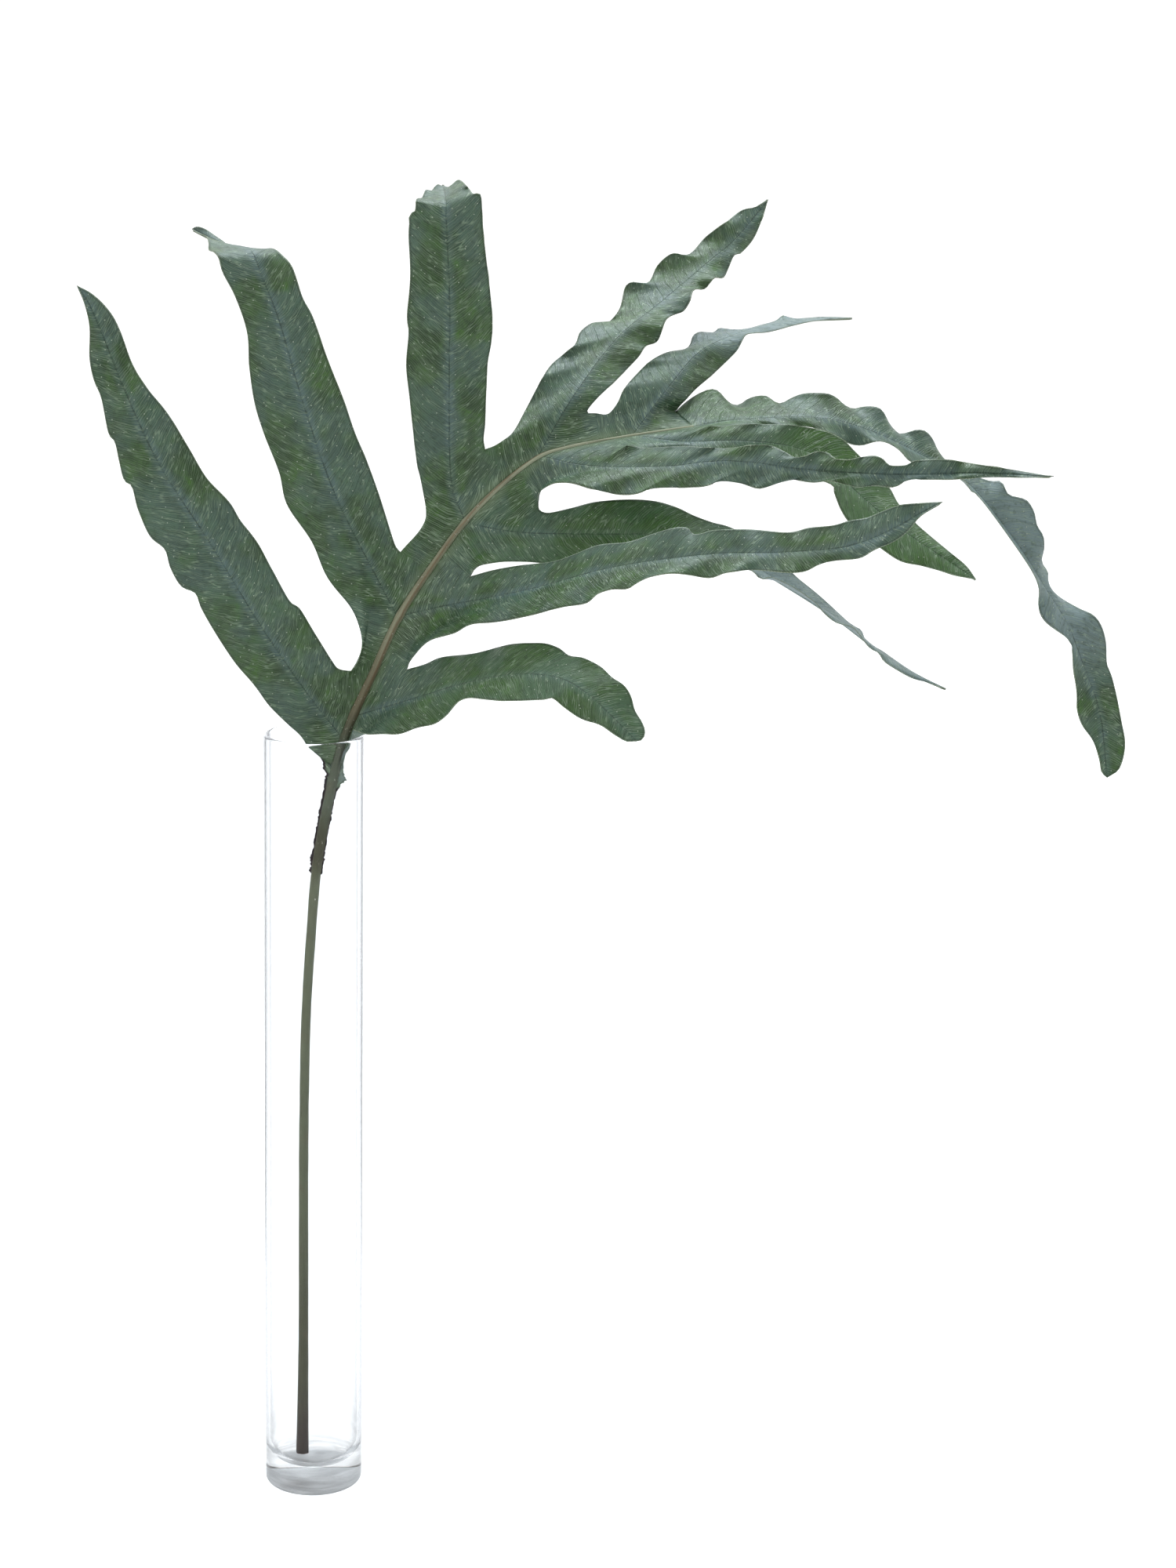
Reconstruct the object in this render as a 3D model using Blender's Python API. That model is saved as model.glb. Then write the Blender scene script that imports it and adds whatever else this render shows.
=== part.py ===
# A cut fern frond standing in a tall clear glass cylinder vase.
# The stalk runs up into the rachis, the midrib of the whole leaf, and the leathery blade grows
# from both sides of it in ten side lobes and one long end lobe with waved edges.
# Lengths are in millimetres until they reach a mesh, which is in metres. +Z is up, and the
# frond's upper face looks towards -Y.

import math

import bmesh
import bpy
from mathutils import Vector

MM = 0.001

# The vase
VASE_RADIUS = 25.0
VASE_HEIGHT = 400.0
VASE_WALL = 2.5
VASE_FLOOR = 12.3
VASE_HEEL = 3.0
VASE_HOLLOW_ROUNDING = 13.0
VASE_SEGMENTS = 48

# The leaf
BLADE_THICKNESS = 0.7
RIB_THICKNESS = 1.7
SEAT_GAP = 0.3
BLADE_CLEAR_OF_STALK = 0.6
STALK_SIDES = 12

# Points of the leaf are given as they show from the front: x and z are where the line from the
# eye crosses the plane Y = 0, and depth is how far behind that plane the point lies.
EYE = Vector((137.0, -1712.0, 792.5))

# Rows across half a lobe, columns where neighbouring lobes are joined, columns on the curve of
# the notch between two lobes, and columns for each wave of a free edge
ROWS = 2
JOINED_COLUMNS = 2
NOTCH_COLUMNS = 3
COLUMNS_PER_WAVE = 4
RIB_HALF = 0.08

# How far along its column range a lobe is joined to its neighbours, and leaves the notch's curve
JOINED = 0.10
CLEAR = 0.16


def seen(x, z, depth):
    """The point that shows at (x, z) from the front and lies that far behind the plane Y = 0."""
    flat = Vector((x, 0.0, z))
    return flat + (flat - EYE) * (depth / -EYE.y)


def smooth(t):
    """An even ease from 0 to 1."""
    t = min(max(t, 0.0), 1.0)
    return t * t * (3 - 2 * t)


class Line:
    """A smooth curve through points, read by the share of its length."""

    STEPS = 24

    def __init__(self, points):
        ends = [points[0] * 2 - points[1], *points, points[-1] * 2 - points[-2]]
        self.samples = []
        for a, b, c, d in zip(ends, ends[1:], ends[2:], ends[3:]):
            for step in range(self.STEPS):
                t = step / self.STEPS
                self.samples.append(
                    (b * 2 + (c - a) * t + (a * 2 - b * 5 + c * 4 - d) * t**2 + (b * 3 - c * 3 + d - a) * t**3) / 2
                )
        self.samples.append(points[-1].copy())
        self.lengths = [0.0]
        for a, b in zip(self.samples, self.samples[1:]):
            self.lengths.append(self.lengths[-1] + (b - a).length)
        self.length = self.lengths[-1]

    def at(self, share):
        wanted = min(max(share, 0.0), 1.0) * self.length
        low, high = 0, len(self.lengths) - 1
        while high - low > 1:
            middle = (low + high) // 2
            if self.lengths[middle] <= wanted:
                low = middle
            else:
                high = middle
        span = self.lengths[high] - self.lengths[low]
        return self.samples[low].lerp(self.samples[high], (wanted - self.lengths[low]) / span)

    def tangent(self, share):
        reach = 0.004
        return (self.at(min(share + reach, 1.0)) - self.at(max(share - reach, 0.0))).normalized()

    def share_at_x(self, x):
        """The share at which the curve's last crossing of that x lies, as seen from the front."""
        for index in range(len(self.samples) - 1, 0, -1):
            a, b = (as_seen_x(p) for p in self.samples[index - 1 : index + 1])
            if a <= x <= b:
                share = (x - a) / (b - a)
                return (self.lengths[index - 1] * (1 - share) + self.lengths[index] * share) / self.length
        raise ValueError(f"the rachis does not pass x = {x}")


def as_seen_x(point):
    return EYE.x + (point.x - EYE.x) * -EYE.y / (point.y - EYE.y)


def between(pairs, at):
    """Reads a list of (place, value) pairs at a place, on straight lines between them."""
    if at <= pairs[0][0]:
        return pairs[0][1]
    for (a, low), (b, high) in zip(pairs, pairs[1:]):
        if at <= b:
            return low + (high - low) * ((at - a) / (b - a))
    return pairs[-1][1]


# The stalk and rachis, from the cut end on the vase's floor to where the end lobe begins
STALK_FOOT = (-6.0, 13.5, 2.0)
STALK_POINTS = [
    STALK_FOOT,
    (-5.4, 80.7, 3),
    (-5.3, 166.8, 4),
    (-4.9, 209, 4),
    (-4.0, 251, 4),
    (-1.6, 292.6, 4),
    (1.9, 333.6, 4),
    (9.4, 374.3, 4),
    (17.1, 402.5, 5),
    (29.1, 430.3, 7),
    (42.2, 459.8, 10),
    (58.6, 486.0, 14),
    (75.3, 509.3, 18),
    (93.9, 528.3, 23),
    (109.9, 540.6, 28),
    (123.2, 545.4, 32),
    (140.3, 549.2, 37),
    (158.6, 552.6, 43),
    (185.0, 557.0, 52),
]
# Radius of the stalk by the x at which it shows, once it has left the vase
RACHIS_RADIUS = [(10, 2.45), (29, 2.1), (58, 1.7), (75, 1.4), (94, 1.15), (110, 0.95), (140, 0.8), (185, 0.7)]
STALK_FOOT_FLARE = 0.8
STALK_FLARE_HEIGHT = 90.0

# How far the upper face leans back from the front, in degrees, on each side of the rachis
LEFT_LEAN = [(10, 0), (42, 8), (75, 18), (110, 34), (140, 48), (185, 60)]
RIGHT_LEAN = [(10, 10), (42, 20), (75, 34), (110, 52), (149, 76), (185, 82)]

# The bottoms of the notches between the lobes as they show from the front, from the foot of the
# leaf up. The first of each side is where the lowest lobe's edge runs down into the torn strip.
LEFT_NOTCHES = [(-2.4, 392), (18.6, 432), (42.7, 492.3), (83.8, 543.9), (137.4, 562.6), (176.3, 564.1)]
RIGHT_NOTCHES = [(19.8, 402.6), (46.2, 433.4), (77.2, 480.9), (110.2, 517.8), (153, 546), (193.3, 557.5)]

# Each lobe: the x on the rachis where it starts, where its midrib leaves, and where it ends; its
# midrib; the way it faces, by the share of its length; its width on the side nearer the foot of
# the leaf and on the side nearer its end; and the number and height of the waves of its edge.
LEFT, RIGHT = -1, 1
FLAT = ([(0, 0)], [(0, 0)])
LEFT_LOBES = [
    dict(
        rachis=(11, 15.5, 33),
        midrib=[(-3.6, 421, 2), (-27.6, 456.5, -4), (-49.8, 493.3, -8), (-74.8, 532.4, -8),
                (-90.9, 567.1, -4), (-106.3, 606, 3), (-114.4, 619.8, 7)],
        faces=[(0, (0, -1, 0.05)), (1, (0.1, -1, 0.1))],
        low=[(0.16, 19.5), (0.41, 22), (0.57, 20), (0.73, 15), (0.88, 8), (1, 0)],
        high=[(0.16, 20), (0.33, 20), (0.49, 18.5), (0.65, 15.5), (0.81, 10), (0.92, 7), (1, 0)],
        waves=7, wave_heights=[(0.2, 1.4), (1, 1.6)], scallop=0.05, phase=0,
    ),
    dict(
        rachis=(33, 42.2, 57),
        midrib=[(32.0, 477.7, 11), (10.3, 520.9, 6), (-5.4, 566, 2), (-16.7, 604.6, 1), (-26.5, 628, 3),
                (-33, 635, 12), (-38, 635, 30), (-46, 640, 52), (-58.5, 648, 76)],
        faces=[(0, (0, -1, 0.1)), (0.62, (0, -1, 0.1)), (0.72, (-0.1, -0.5, 1)), (1, (0, -0.2, 1))],
        low=[(0.16, 17), (0.25, 21), (0.38, 22.5), (0.57, 17.5), (0.73, 14), (0.85, 9), (1, 0)],
        high=[(0.1, 16.5), (0.16, 17.5), (0.3, 20), (0.49, 18.5), (0.65, 15.5), (0.8, 12), (0.9, 8), (1, 0)],
        waves=7, wave_heights=[(0.2, 1.2), (1, 1.6)], scallop=0.04, phase=0.25,
    ),
    dict(
        rachis=(57, 74.6, 95),
        midrib=[(67.5, 527.4, 20), (66, 567.8, 19), (65.8, 613.4, 18), (64.4, 643, 19), (63.6, 656, 23),
                (63, 662, 34), (62.5, 665, 50), (63, 667, 66), (62, 666, 82), (61, 662, 95)],
        faces=[(0, (0, -1, 0.15)), (0.55, (0, -1, 0.1)), (0.7, (0, -0.3, 1)), (1, (0, -0.2, 1))],
        low=[(0.1, 13), (0.16, 13.5), (0.22, 15.5), (0.41, 20.5), (0.57, 19.5), (0.7, 17), (0.78, 16.5), (0.86, 12),
             (0.93, 7), (1, 0)],
        high=[(0.16, 16.5), (0.33, 18.5), (0.41, 20), (0.6, 18), (0.72, 17), (0.78, 16.5), (0.86, 12), (0.93, 7),
              (1, 0)],
        waves=8, wave_heights=[(0.2, 1.4), (0.66, 2), (0.78, 3), (1, 3)], scallop=0.04, phase=0.5,
    ),
    dict(
        rachis=(95, 110, 139),
        midrib=[(126.6, 570.8, 42), (147, 599, 72), (167.5, 616.8, 98), (189, 635.6, 124),
                (203.7, 648.7, 143), (218.2, 666.9, 160)],
        faces=[(0, (-0.1, -0.8, 0.6)), (0.5, (0, -0.8, 0.6)), (1, (0.1, -0.9, 0.5))],
        low=[(0.16, 16), (0.33, 16), (0.5, 15), (0.7, 14), (0.88, 10), (1, 0)],
        high=[(0.16, 12), (0.35, 14.5), (0.5, 13), (0.7, 10.5), (0.88, 7.5), (1, 0)],
        waves=7, wave_heights=[(0.2, 1.6), (0.5, 3.6), (1, 3)], scallop=0.07, phase=0.75,
    ),
    dict(
        rachis=(139, 156, 185),
        midrib=[(173, 576.3, 62), (185.5, 591.8, 84), (200.5, 600.8, 104), (227.6, 608.9, 136),
                (260.5, 611.4, 170)],
        faces=[(0, (-0.1, -0.85, 0.5)), (0.42, (0, -0.8, 0.6)), (0.6, (0, -0.12, 1)), (1, (0, 0.1, 1))],
        low=[(0.16, 16), (0.25, 14.5), (0.33, 12), (0.45, 11), (0.6, 11), (0.8, 8), (0.92, 4), (1, 0)],
        high=[(0.16, 11), (0.3, 13.5), (0.41, 12.5), (0.5, 11), (0.65, 10), (0.8, 8), (0.92, 4), (1, 0)],
        waves=6, wave_heights=[(0.2, 1.6), (1, 2.4)], scallop=0.05, phase=0.5,
    ),
]
RIGHT_LOBES = [
    dict(
        rachis=(11, 20, 36),
        midrib=[(49.4, 418.7, -12), (75.4, 427.2, -28), (99.1, 432, -43), (120.8, 430.8, -56),
                (137.3, 421.6, -66), (160.8, 399.3, -78)],
        faces=[(0, (0, -0.85, 0.6)), (1, (0.1, -0.85, 0.5))],
        low=[(0.16, 15), (0.25, 14.5), (0.35, 11), (0.45, 10.5), (0.57, 13.5), (0.8, 12.5), (0.9, 9), (1, 2)],
        high=[(0.16, 16), (0.33, 16.5), (0.6, 16), (0.85, 15), (0.93, 12), (1, 3)],
        waves=5, wave_heights=[(0.2, 1.2), (1, 1.6)], scallop=0.04, phase=0.25,
    ),
    dict(
        rachis=(36, 43, 62),
        midrib=[(65.7, 466.1, 4), (105.8, 474.8, -16), (146.6, 486.5, -34), (194.2, 494.1, -52),
                (234.2, 496, -64), (269.5, 501.5, -72), (307.9, 522.3, -78)],
        faces=[(0, (0, -0.8, 0.55)), (0.5, (0, -0.75, 0.65)), (1, (0, -0.9, 0.5))],
        low=[(0.16, 14), (0.33, 14.5), (0.45, 11), (0.6, 11), (0.73, 9.5), (0.85, 6.5), (0.95, 3), (1, 0)],
        high=[(0.16, 14), (0.25, 13), (0.33, 13), (0.47, 15), (0.65, 13), (0.88, 11), (0.95, 7), (1, 0)],
        waves=8, wave_heights=[(0.2, 1.4), (1, 2.4)], scallop=0.05, phase=0,
    ),
    dict(
        rachis=(62, 74, 101),
        midrib=[(101.2, 503.2, 18), (135.8, 503.1, 17), (168, 503, 14), (200.3, 497, 8),
                (223, 485, 2), (256.1, 465, -4), (291.2, 439.5, -8), (313.7, 429, -9)],
        faces=[(0, (0, -0.8, 0.6)), (0.35, (0, -0.9, 0.45)), (0.56, (0.15, -0.3, 0.95)),
               (0.72, (0.3, -0.1, 0.95)), (1, (0.3, -0.2, 0.95))],
        low=[(0.16, 16), (0.38, 19), (0.48, 16), (0.58, 9), (0.75, 8), (0.88, 6), (1, 0)],
        high=[(0.16, 14), (0.3, 17.5), (0.5, 16), (0.62, 13), (0.75, 11), (0.88, 8), (1, 0)],
        waves=7, wave_heights=[(0.2, 1.2), (1, 1.6)], scallop=0.05, phase=0.5,
    ),
    dict(
        rachis=(101, 111, 149),
        midrib=[(135.2, 536.8, 20), (170.8, 537.1, 4), (203.7, 540.4, -8), (245.2, 536.6, -20),
                (287.4, 535.4, -28), (325, 536.8, -33), (361.7, 535.7, -37)],
        faces=[(0, (0, -0.55, 0.85)), (0.45, (0, -0.6, 0.8)), (0.75, (0, -0.4, 0.9)), (1, (0, -0.6, 0.8))],
        low=[(0.1, 12), (0.16, 13.5), (0.24, 16.5), (0.33, 16.5), (0.49, 13), (0.6, 10.5), (0.73, 9), (0.88, 6),
             (1, 0)],
        high=[(0.16, 16), (0.33, 12), (0.49, 11), (0.6, 13), (0.75, 10.5), (0.88, 6.5), (1, 0)],
        waves=8, wave_heights=[(0.2, 1.8), (0.4, 3.2), (1, 2)], scallop=0.05, phase=0.25,
    ),
    dict(
        rachis=(149, 157, 185),
        midrib=[(180, 549.5, 37), (206.1, 550.5, 28), (232, 548.3, 21), (252.7, 539.8, 16), (264.7, 527.3, 13),
                (288.5, 508.3, 10), (326.1, 484.1, 8)],
        faces=[(0, (0, -0.5, 0.85)), (0.35, (0, -0.6, 0.8)), (0.6, (0.35, -0.9, 0.45)), (1, (0.1, -1, 0.1))],
        low=[(0.16, 14), (0.33, 16), (0.57, 15), (0.7, 14), (0.81, 12.5), (0.9, 7.5), (1, 0)],
        high=[(0.16, 11), (0.25, 12), (0.41, 14.5), (0.57, 15), (0.65, 13.5), (0.75, 9), (0.88, 5), (1, 0)],
        waves=6, wave_heights=[(0.2, 1.2), (1, 1.4)], scallop=0.04, phase=0,
    ),
]
# The end lobe's side nearer the foot of the leaf is its right side, which is folded back behind
# the other from a third of its length to the half twist at two thirds.
END_LOBE = dict(
    rachis=(185, 185, 185),
    midrib=[(205.8, 560.8, 58), (245.1, 562.5, 68), (269.7, 557.1, 74), (297.4, 544.9, 80), (321.2, 530.6, 83),
            (346.1, 501.3, 84), (359.8, 481.2, 84), (371.9, 463, 83), (380.2, 444.2, 82), (390.5, 418, 80),
            (395.8, 385, 77)],
    faces=[(0, (0, -0.5, 0.85)), (0.24, (0, -0.45, 0.9)), (0.34, (0.1, -0.6, 0.8)), (0.42, (-0.1, -1, 0.2)),
           (0.61, (-0.1, -1, 0.1)), (0.68, (0.8, -0.5, 0.2)), (0.75, (0.4, -0.8, 0.3)), (0.9, (0.1, -1, 0.1)),
           (1, (0.1, -1, 0.1))],
    low=[(0.1, 9), (0.16, 11), (0.24, 11), (0.35, 12), (0.5, 13), (0.66, 11), (0.73, 9), (0.8, 6), (0.88, 8),
         (0.96, 5), (1, 0)],
    high=[(0.1, 19), (0.16, 17), (0.25, 17), (0.36, 14), (0.5, 14.5), (0.62, 13), (0.7, 10), (0.76, 13), (0.84, 15),
          (0.92, 13), (0.97, 9), (1, 0)],
    folds=([(0.22, 0), (0.3, 45), (0.36, 70), (0.43, 88), (0.62, 88), (0.68, 30), (0.74, 0)], [(0, 0)]),
    waves=11, wave_heights=[(0, 2.6), (0.3, 3.2), (0.7, 2.8), (1, 1.6)], scallop=0.06, phase=0.25,
)

# The torn remnants of blade that run down the stalk inside the vase: width by the height at
# which each shows, from the lowest up
LEFT_STRIP = [(326, 0.6), (334, 1.6), (336, 0.8), (344, 0.9), (352, 0.9), (360, 1.2), (369, 1.1), (374, 1.6),
              (378, 2.7), (382, 4.6), (384, 6.6), (387, 8.5), (389.5, 10.4)]
RIGHT_STRIP = [(326, 0.6), (334, 0.9), (345, 0.6), (356, 0.7), (366, 0.5), (369.5, 0.8), (372.5, 2.0),
               (376, 4.0), (380, 2.0), (384, 0.9), (389, 0.8), (392, 1.9)]


class Rachis:
    """The stalk and rachis: its curve, its radius, and the face of the blade on each side."""

    def __init__(self):
        self.line = Line([seen(*point) for point in STALK_POINTS])
        self.foot_z = VASE_FLOOR + SEAT_GAP

    def radius(self, share):
        point = self.line.at(share)
        flare = max(0.0, 1 - (point.z - self.foot_z) / STALK_FLARE_HEIGHT)
        if point.z < STALK_POINTS[7][1]:
            return RACHIS_RADIUS[0][1] + STALK_FOOT_FLARE * flare**2
        return between(RACHIS_RADIUS, as_seen_x(point))

    def normal(self, share, hand):
        point = self.line.at(share)
        lean = math.radians(between(LEFT_LEAN if hand == LEFT else RIGHT_LEAN, as_seen_x(point)))
        tangent = self.line.tangent(share)
        face = Vector((0, -math.cos(lean), math.sin(lean)))
        return (face - tangent * face.dot(tangent)).normalized()

    def outward(self, share, hand):
        """The way the blade leaves the rachis on that side."""
        return self.line.tangent(share).cross(self.normal(share, hand)).normalized() * hand

    def edge(self, share, hand):
        """Where the blade begins on that side, just clear of the rachis."""
        clear = self.radius(share) + BLADE_CLEAR_OF_STALK
        return self.line.at(share) + self.outward(share, hand) * clear


class Lobe:
    """One lobe of the blade, as a function from (column, row) to a point.

    column runs from 0 at the rachis to 1 at the tip. row runs from -1 at the edge nearer the
    foot of the leaf to 1 at the edge nearer its end."""

    def __init__(self, rachis, facts, hand):
        self.facts = facts
        self.rachis = rachis
        self.hand = hand
        self.is_end = facts is END_LOBE
        self.shares = [min(rachis.line.share_at_x(x), 1.0) for x in facts["rachis"]]
        root = rachis.line.at(1.0) if self.is_end else rachis.edge(self.shares[1], hand)
        self.midrib = Line([root] + [seen(*point) for point in facts["midrib"]])
        hands = (RIGHT, LEFT) if self.is_end else (hand, hand)
        self.roots = [rachis.edge(self.shares[0], hands[0]), rachis.edge(self.shares[2], hands[1])]
        self.clears = [self.free(CLEAR, -1), self.free(CLEAR, 1)]
        self.notches = [None, None]

    def face(self, column):
        tangent = self.midrib.tangent(column)
        pairs = [(place, Vector(way)) for place, way in self.facts["faces"]]
        way = between(pairs, column)
        return (way - tangent * way.dot(tangent)).normalized()

    def side(self, column, row):
        """The unit vector across that half of the lobe, towards row 1, with its fold at the midrib."""
        face = self.face(column)
        flat = face.cross(self.midrib.tangent(column)) * self.hand
        folds = self.facts.get("folds", FLAT)[0 if row < 0 else 1]
        fold = math.radians(between(folds, column))
        return flat * math.cos(fold) + face * math.sin(fold) * (1 if row < 0 else -1)

    def turns(self, column, row):
        """How many waves of that edge lie between the notch and this column."""
        half_way = 0.5 if row < 0 else 0.0
        return self.facts["waves"] * (column - CLEAR) / (1 - CLEAR) + self.facts["phase"] + half_way

    def half_width(self, column, row):
        width = between(self.facts["low"] if row < 0 else self.facts["high"], column)
        return width * (1 + self.facts["scallop"] * math.sin(2 * math.pi * self.turns(column, row)))

    def free(self, column, row):
        """A point of the lobe where it is free of its neighbours, before the edge is waved."""
        return self.midrib.at(column) + self.side(column, row) * (self.half_width(column, row) * row)

    def margin(self, column, row):
        """The edge on the side of that row: along the neighbour, round the notch, then free."""
        side = 0 if row < 0 else 1
        root, notch, clear = self.roots[side], self.notches[side], self.clears[side]
        if column <= JOINED:
            return root.lerp(notch, column / JOINED)
        if column >= CLEAR:
            return self.free(column, math.copysign(1, row))
        turn = (column - JOINED) / (CLEAR - JOINED) * math.pi / 2
        across = self.side(CLEAR, row)
        across *= (clear - notch).dot(across)
        return notch + across * math.sin(turn) + (clear - notch - across) * (1 - math.cos(turn))

    def base(self, row):
        """The side lobe's first row of points, along the rachis."""
        start, node, end = self.shares
        share = node + (end - node) * row if row > 0 else node + (node - start) * row
        return self.rachis.edge(share, self.hand)

    def point(self, column, row):
        out = abs(row)
        if self.is_end:
            place = self.end_point(column, row)
        else:
            place = self.midrib.at(column).lerp(self.margin(column, row), out)
            if column < JOINED:
                chord = self.midrib.at(0).lerp(self.margin(0, row), out)
                place += (self.base(row) - chord) * (1 - column / JOINED)
        return place + self.face(column) * self.wave(column, row)

    def end_point(self, column, row):
        """The end lobe starts from the last joined edges of both side lobes beside it."""
        side = 0 if row < 0 else 1
        out = abs(row)
        shifted = JOINED + column * (1 - JOINED)
        rib = self.midrib.at(column)
        place = rib.lerp(self.margin(shifted, row), out)
        strip = max(out - RIB_HALF, 0) / (1 - RIB_HALF)
        first = self.roots[side].lerp(self.notches[side], strip)
        if out < RIB_HALF:
            first = self.midrib.at(0).lerp(self.roots[side], out / RIB_HALF)
        return first.lerp(place, smooth(column / (CLEAR - JOINED)))

    def wave(self, column, row):
        """How far the waved edge stands off the lobe's face."""
        start = -0.06 if self.is_end else JOINED
        grown = smooth((column - start) / 0.12) * (1 - smooth((column - 0.9) / 0.1) * 0.7)
        height = between(self.facts["wave_heights"], column) * abs(row) ** 1.6
        if self.is_end and column == 0:
            return 0.0
        return height * grown * math.sin(2 * math.pi * self.turns(column, row))


def join_notches(chain, places, last_row):
    """Gives each pair of neighbouring lobes the notch between them, at a depth between theirs."""
    for number, place in enumerate(places):
        upper = chain[number]
        row = last_row if upper.is_end else -1
        depth = upper.free(CLEAR, row).y
        if number:
            depth = depth * 0.15 + chain[number - 1].free(CLEAR, 1).y * 0.85
            chain[number - 1].notches[1] = seen(*place, depth)
        upper.notches[0 if row < 0 else 1] = seen(*place, depth)


def rows():
    """Row values across a lobe, with a narrow strip each side of the midrib."""
    half = [RIB_HALF + (1 - RIB_HALF) * step / ROWS for step in range(ROWS + 1)]
    return [-row for row in reversed(half)] + [0.0] + half


def steps(start, end, count):
    """Evenly spaced values from start up to, but not including, end."""
    return [start + (end - start) * step / count for step in range(count)]


def columns(lobe):
    """Column values along a lobe, which match its neighbours where they are joined."""
    free_columns = COLUMNS_PER_WAVE * lobe.facts["waves"]
    if lobe.is_end:
        clear = (CLEAR - JOINED) / (1 - JOINED)
        return steps(0, clear, NOTCH_COLUMNS) + steps(clear, 1, free_columns) + [1.0]
    joined = steps(0, JOINED, JOINED_COLUMNS)
    return joined + steps(JOINED, CLEAR, NOTCH_COLUMNS) + steps(CLEAR, 1, free_columns) + [1.0]


def add_sheet(mesh, points, flip, rib=None):
    """Adds a grid of points to the mesh and marks the vertices of its middle row as a rib."""
    grid = [[mesh.verts.new(point * MM) for point in column] for column in points]
    for near, far in zip(grid, grid[1:]):
        for row in range(len(near) - 1):
            corners = (near[row], far[row], far[row + 1], near[row + 1])
            mesh.faces.new(reversed(corners) if flip else corners)
        if rib is not None:
            far[len(far) // 2][rib] = 1.0


def add_lobe(mesh, rib, lobe):
    points = [[lobe.point(column, row) for row in rows()] for column in columns(lobe)]
    add_sheet(mesh, points, lobe.hand == LEFT, rib)


def add_strip(mesh, rachis, lobe, widths):
    """The torn strip of blade that runs down the stalk below the lowest lobe of one side."""
    points = []
    for height, width in widths:
        share = next(at / 4000 for at in range(4000) if rachis.line.at(at / 4000).z > height)
        inner = rachis.edge(share, lobe.hand)
        outer = inner + rachis.outward(share, lobe.hand) * width
        points.append([inner.lerp(outer, step / JOINED_COLUMNS) for step in range(JOINED_COLUMNS + 1)])
    top = [lobe.margin(JOINED * step / JOINED_COLUMNS, -1) for step in range(JOINED_COLUMNS + 1)]
    add_sheet(mesh, points + [top], lobe.hand == RIGHT)


def material(name, colour, roughness, alpha=1.0):
    made = bpy.data.materials.new(name)
    made.use_nodes = True
    shader = made.node_tree.nodes["Principled BSDF"]
    shader.inputs["Base Color"].default_value = (*colour, 1)
    shader.inputs["Roughness"].default_value = roughness
    shader.inputs["Alpha"].default_value = alpha
    shader.inputs["Metallic"].default_value = 0.0
    return made


def add_object(name, mesh, made):
    data = bpy.data.meshes.new(name)
    mesh.to_mesh(data)
    mesh.free()
    data.materials.append(made)
    placed = bpy.data.objects.new(name, data)
    bpy.context.scene.collection.objects.link(placed)
    return placed


def build_blade(rachis):
    """The whole green blade: torn strips, ten side lobes and the end lobe, joined edge to edge."""
    left = [Lobe(rachis, facts, LEFT) for facts in LEFT_LOBES]
    right = [Lobe(rachis, facts, RIGHT) for facts in RIGHT_LOBES]
    end = Lobe(rachis, END_LOBE, RIGHT)
    join_notches([*left, end], LEFT_NOTCHES, 1)
    join_notches([*right, end], RIGHT_NOTCHES, -1)
    mesh = bmesh.new()
    rib = mesh.verts.layers.float.new("rib")
    for lobe in [*left, *right, end]:
        add_lobe(mesh, rib, lobe)
    add_strip(mesh, rachis, left[0], LEFT_STRIP)
    add_strip(mesh, rachis, right[0], RIGHT_STRIP)
    bmesh.ops.remove_doubles(mesh, verts=mesh.verts, dist=0.00002)
    bmesh.ops.triangulate(mesh, faces=mesh.faces)
    ribbed = {vertex.index: vertex[rib] for vertex in mesh.verts}
    blade = add_object("frond_blade", mesh, material("blade", (0.075, 0.15, 0.085), 0.5))
    thickness = blade.vertex_groups.new(name="thickness")
    for index, share in ribbed.items():
        thickness.add([index], 1.0 if share else BLADE_THICKNESS / RIB_THICKNESS, "REPLACE")
    solid = blade.modifiers.new("solid", "SOLIDIFY")
    solid.thickness = RIB_THICKNESS * MM
    solid.offset = -1
    solid.vertex_group = "thickness"
    return blade


def build_stalk(rachis):
    """The stalk and rachis, one tapering rod."""
    line = rachis.line
    mesh = bmesh.new()
    stations = [step / 30 * 0.45 for step in range(6)]
    stations += [0.09 + step / 64 * (0.9985 - 0.09) for step in range(1, 65)]
    rings = []
    for share in stations:
        centre = line.at(share)
        across = rachis.outward(share, RIGHT)
        face = rachis.normal(share, RIGHT)
        if share == 0.0:
            across, face = Vector((1, 0, 0)), Vector((0, -1, 0))
            centre.z = rachis.foot_z
        ring = []
        for side in range(STALK_SIDES):
            angle = 2 * math.pi * side / STALK_SIDES
            spoke = across * math.cos(angle) + face * math.sin(angle)
            ring.append(mesh.verts.new((centre + spoke * rachis.radius(share)) * MM))
        rings.append(ring)
    for low, high in zip(rings, rings[1:]):
        for side in range(STALK_SIDES):
            after = (side + 1) % STALK_SIDES
            mesh.faces.new((low[side], low[after], high[after], high[side]))
    mesh.faces.new(list(reversed(rings[0])))
    mesh.faces.new(rings[-1])
    bmesh.ops.recalc_face_normals(mesh, faces=mesh.faces)
    stalk = add_object("frond_stalk", mesh, material("stalk", (0.16, 0.15, 0.09), 0.55))
    stalk.data.shade_smooth()
    stalk.data.set_sharp_from_angle(angle=math.radians(50))
    return stalk


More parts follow.
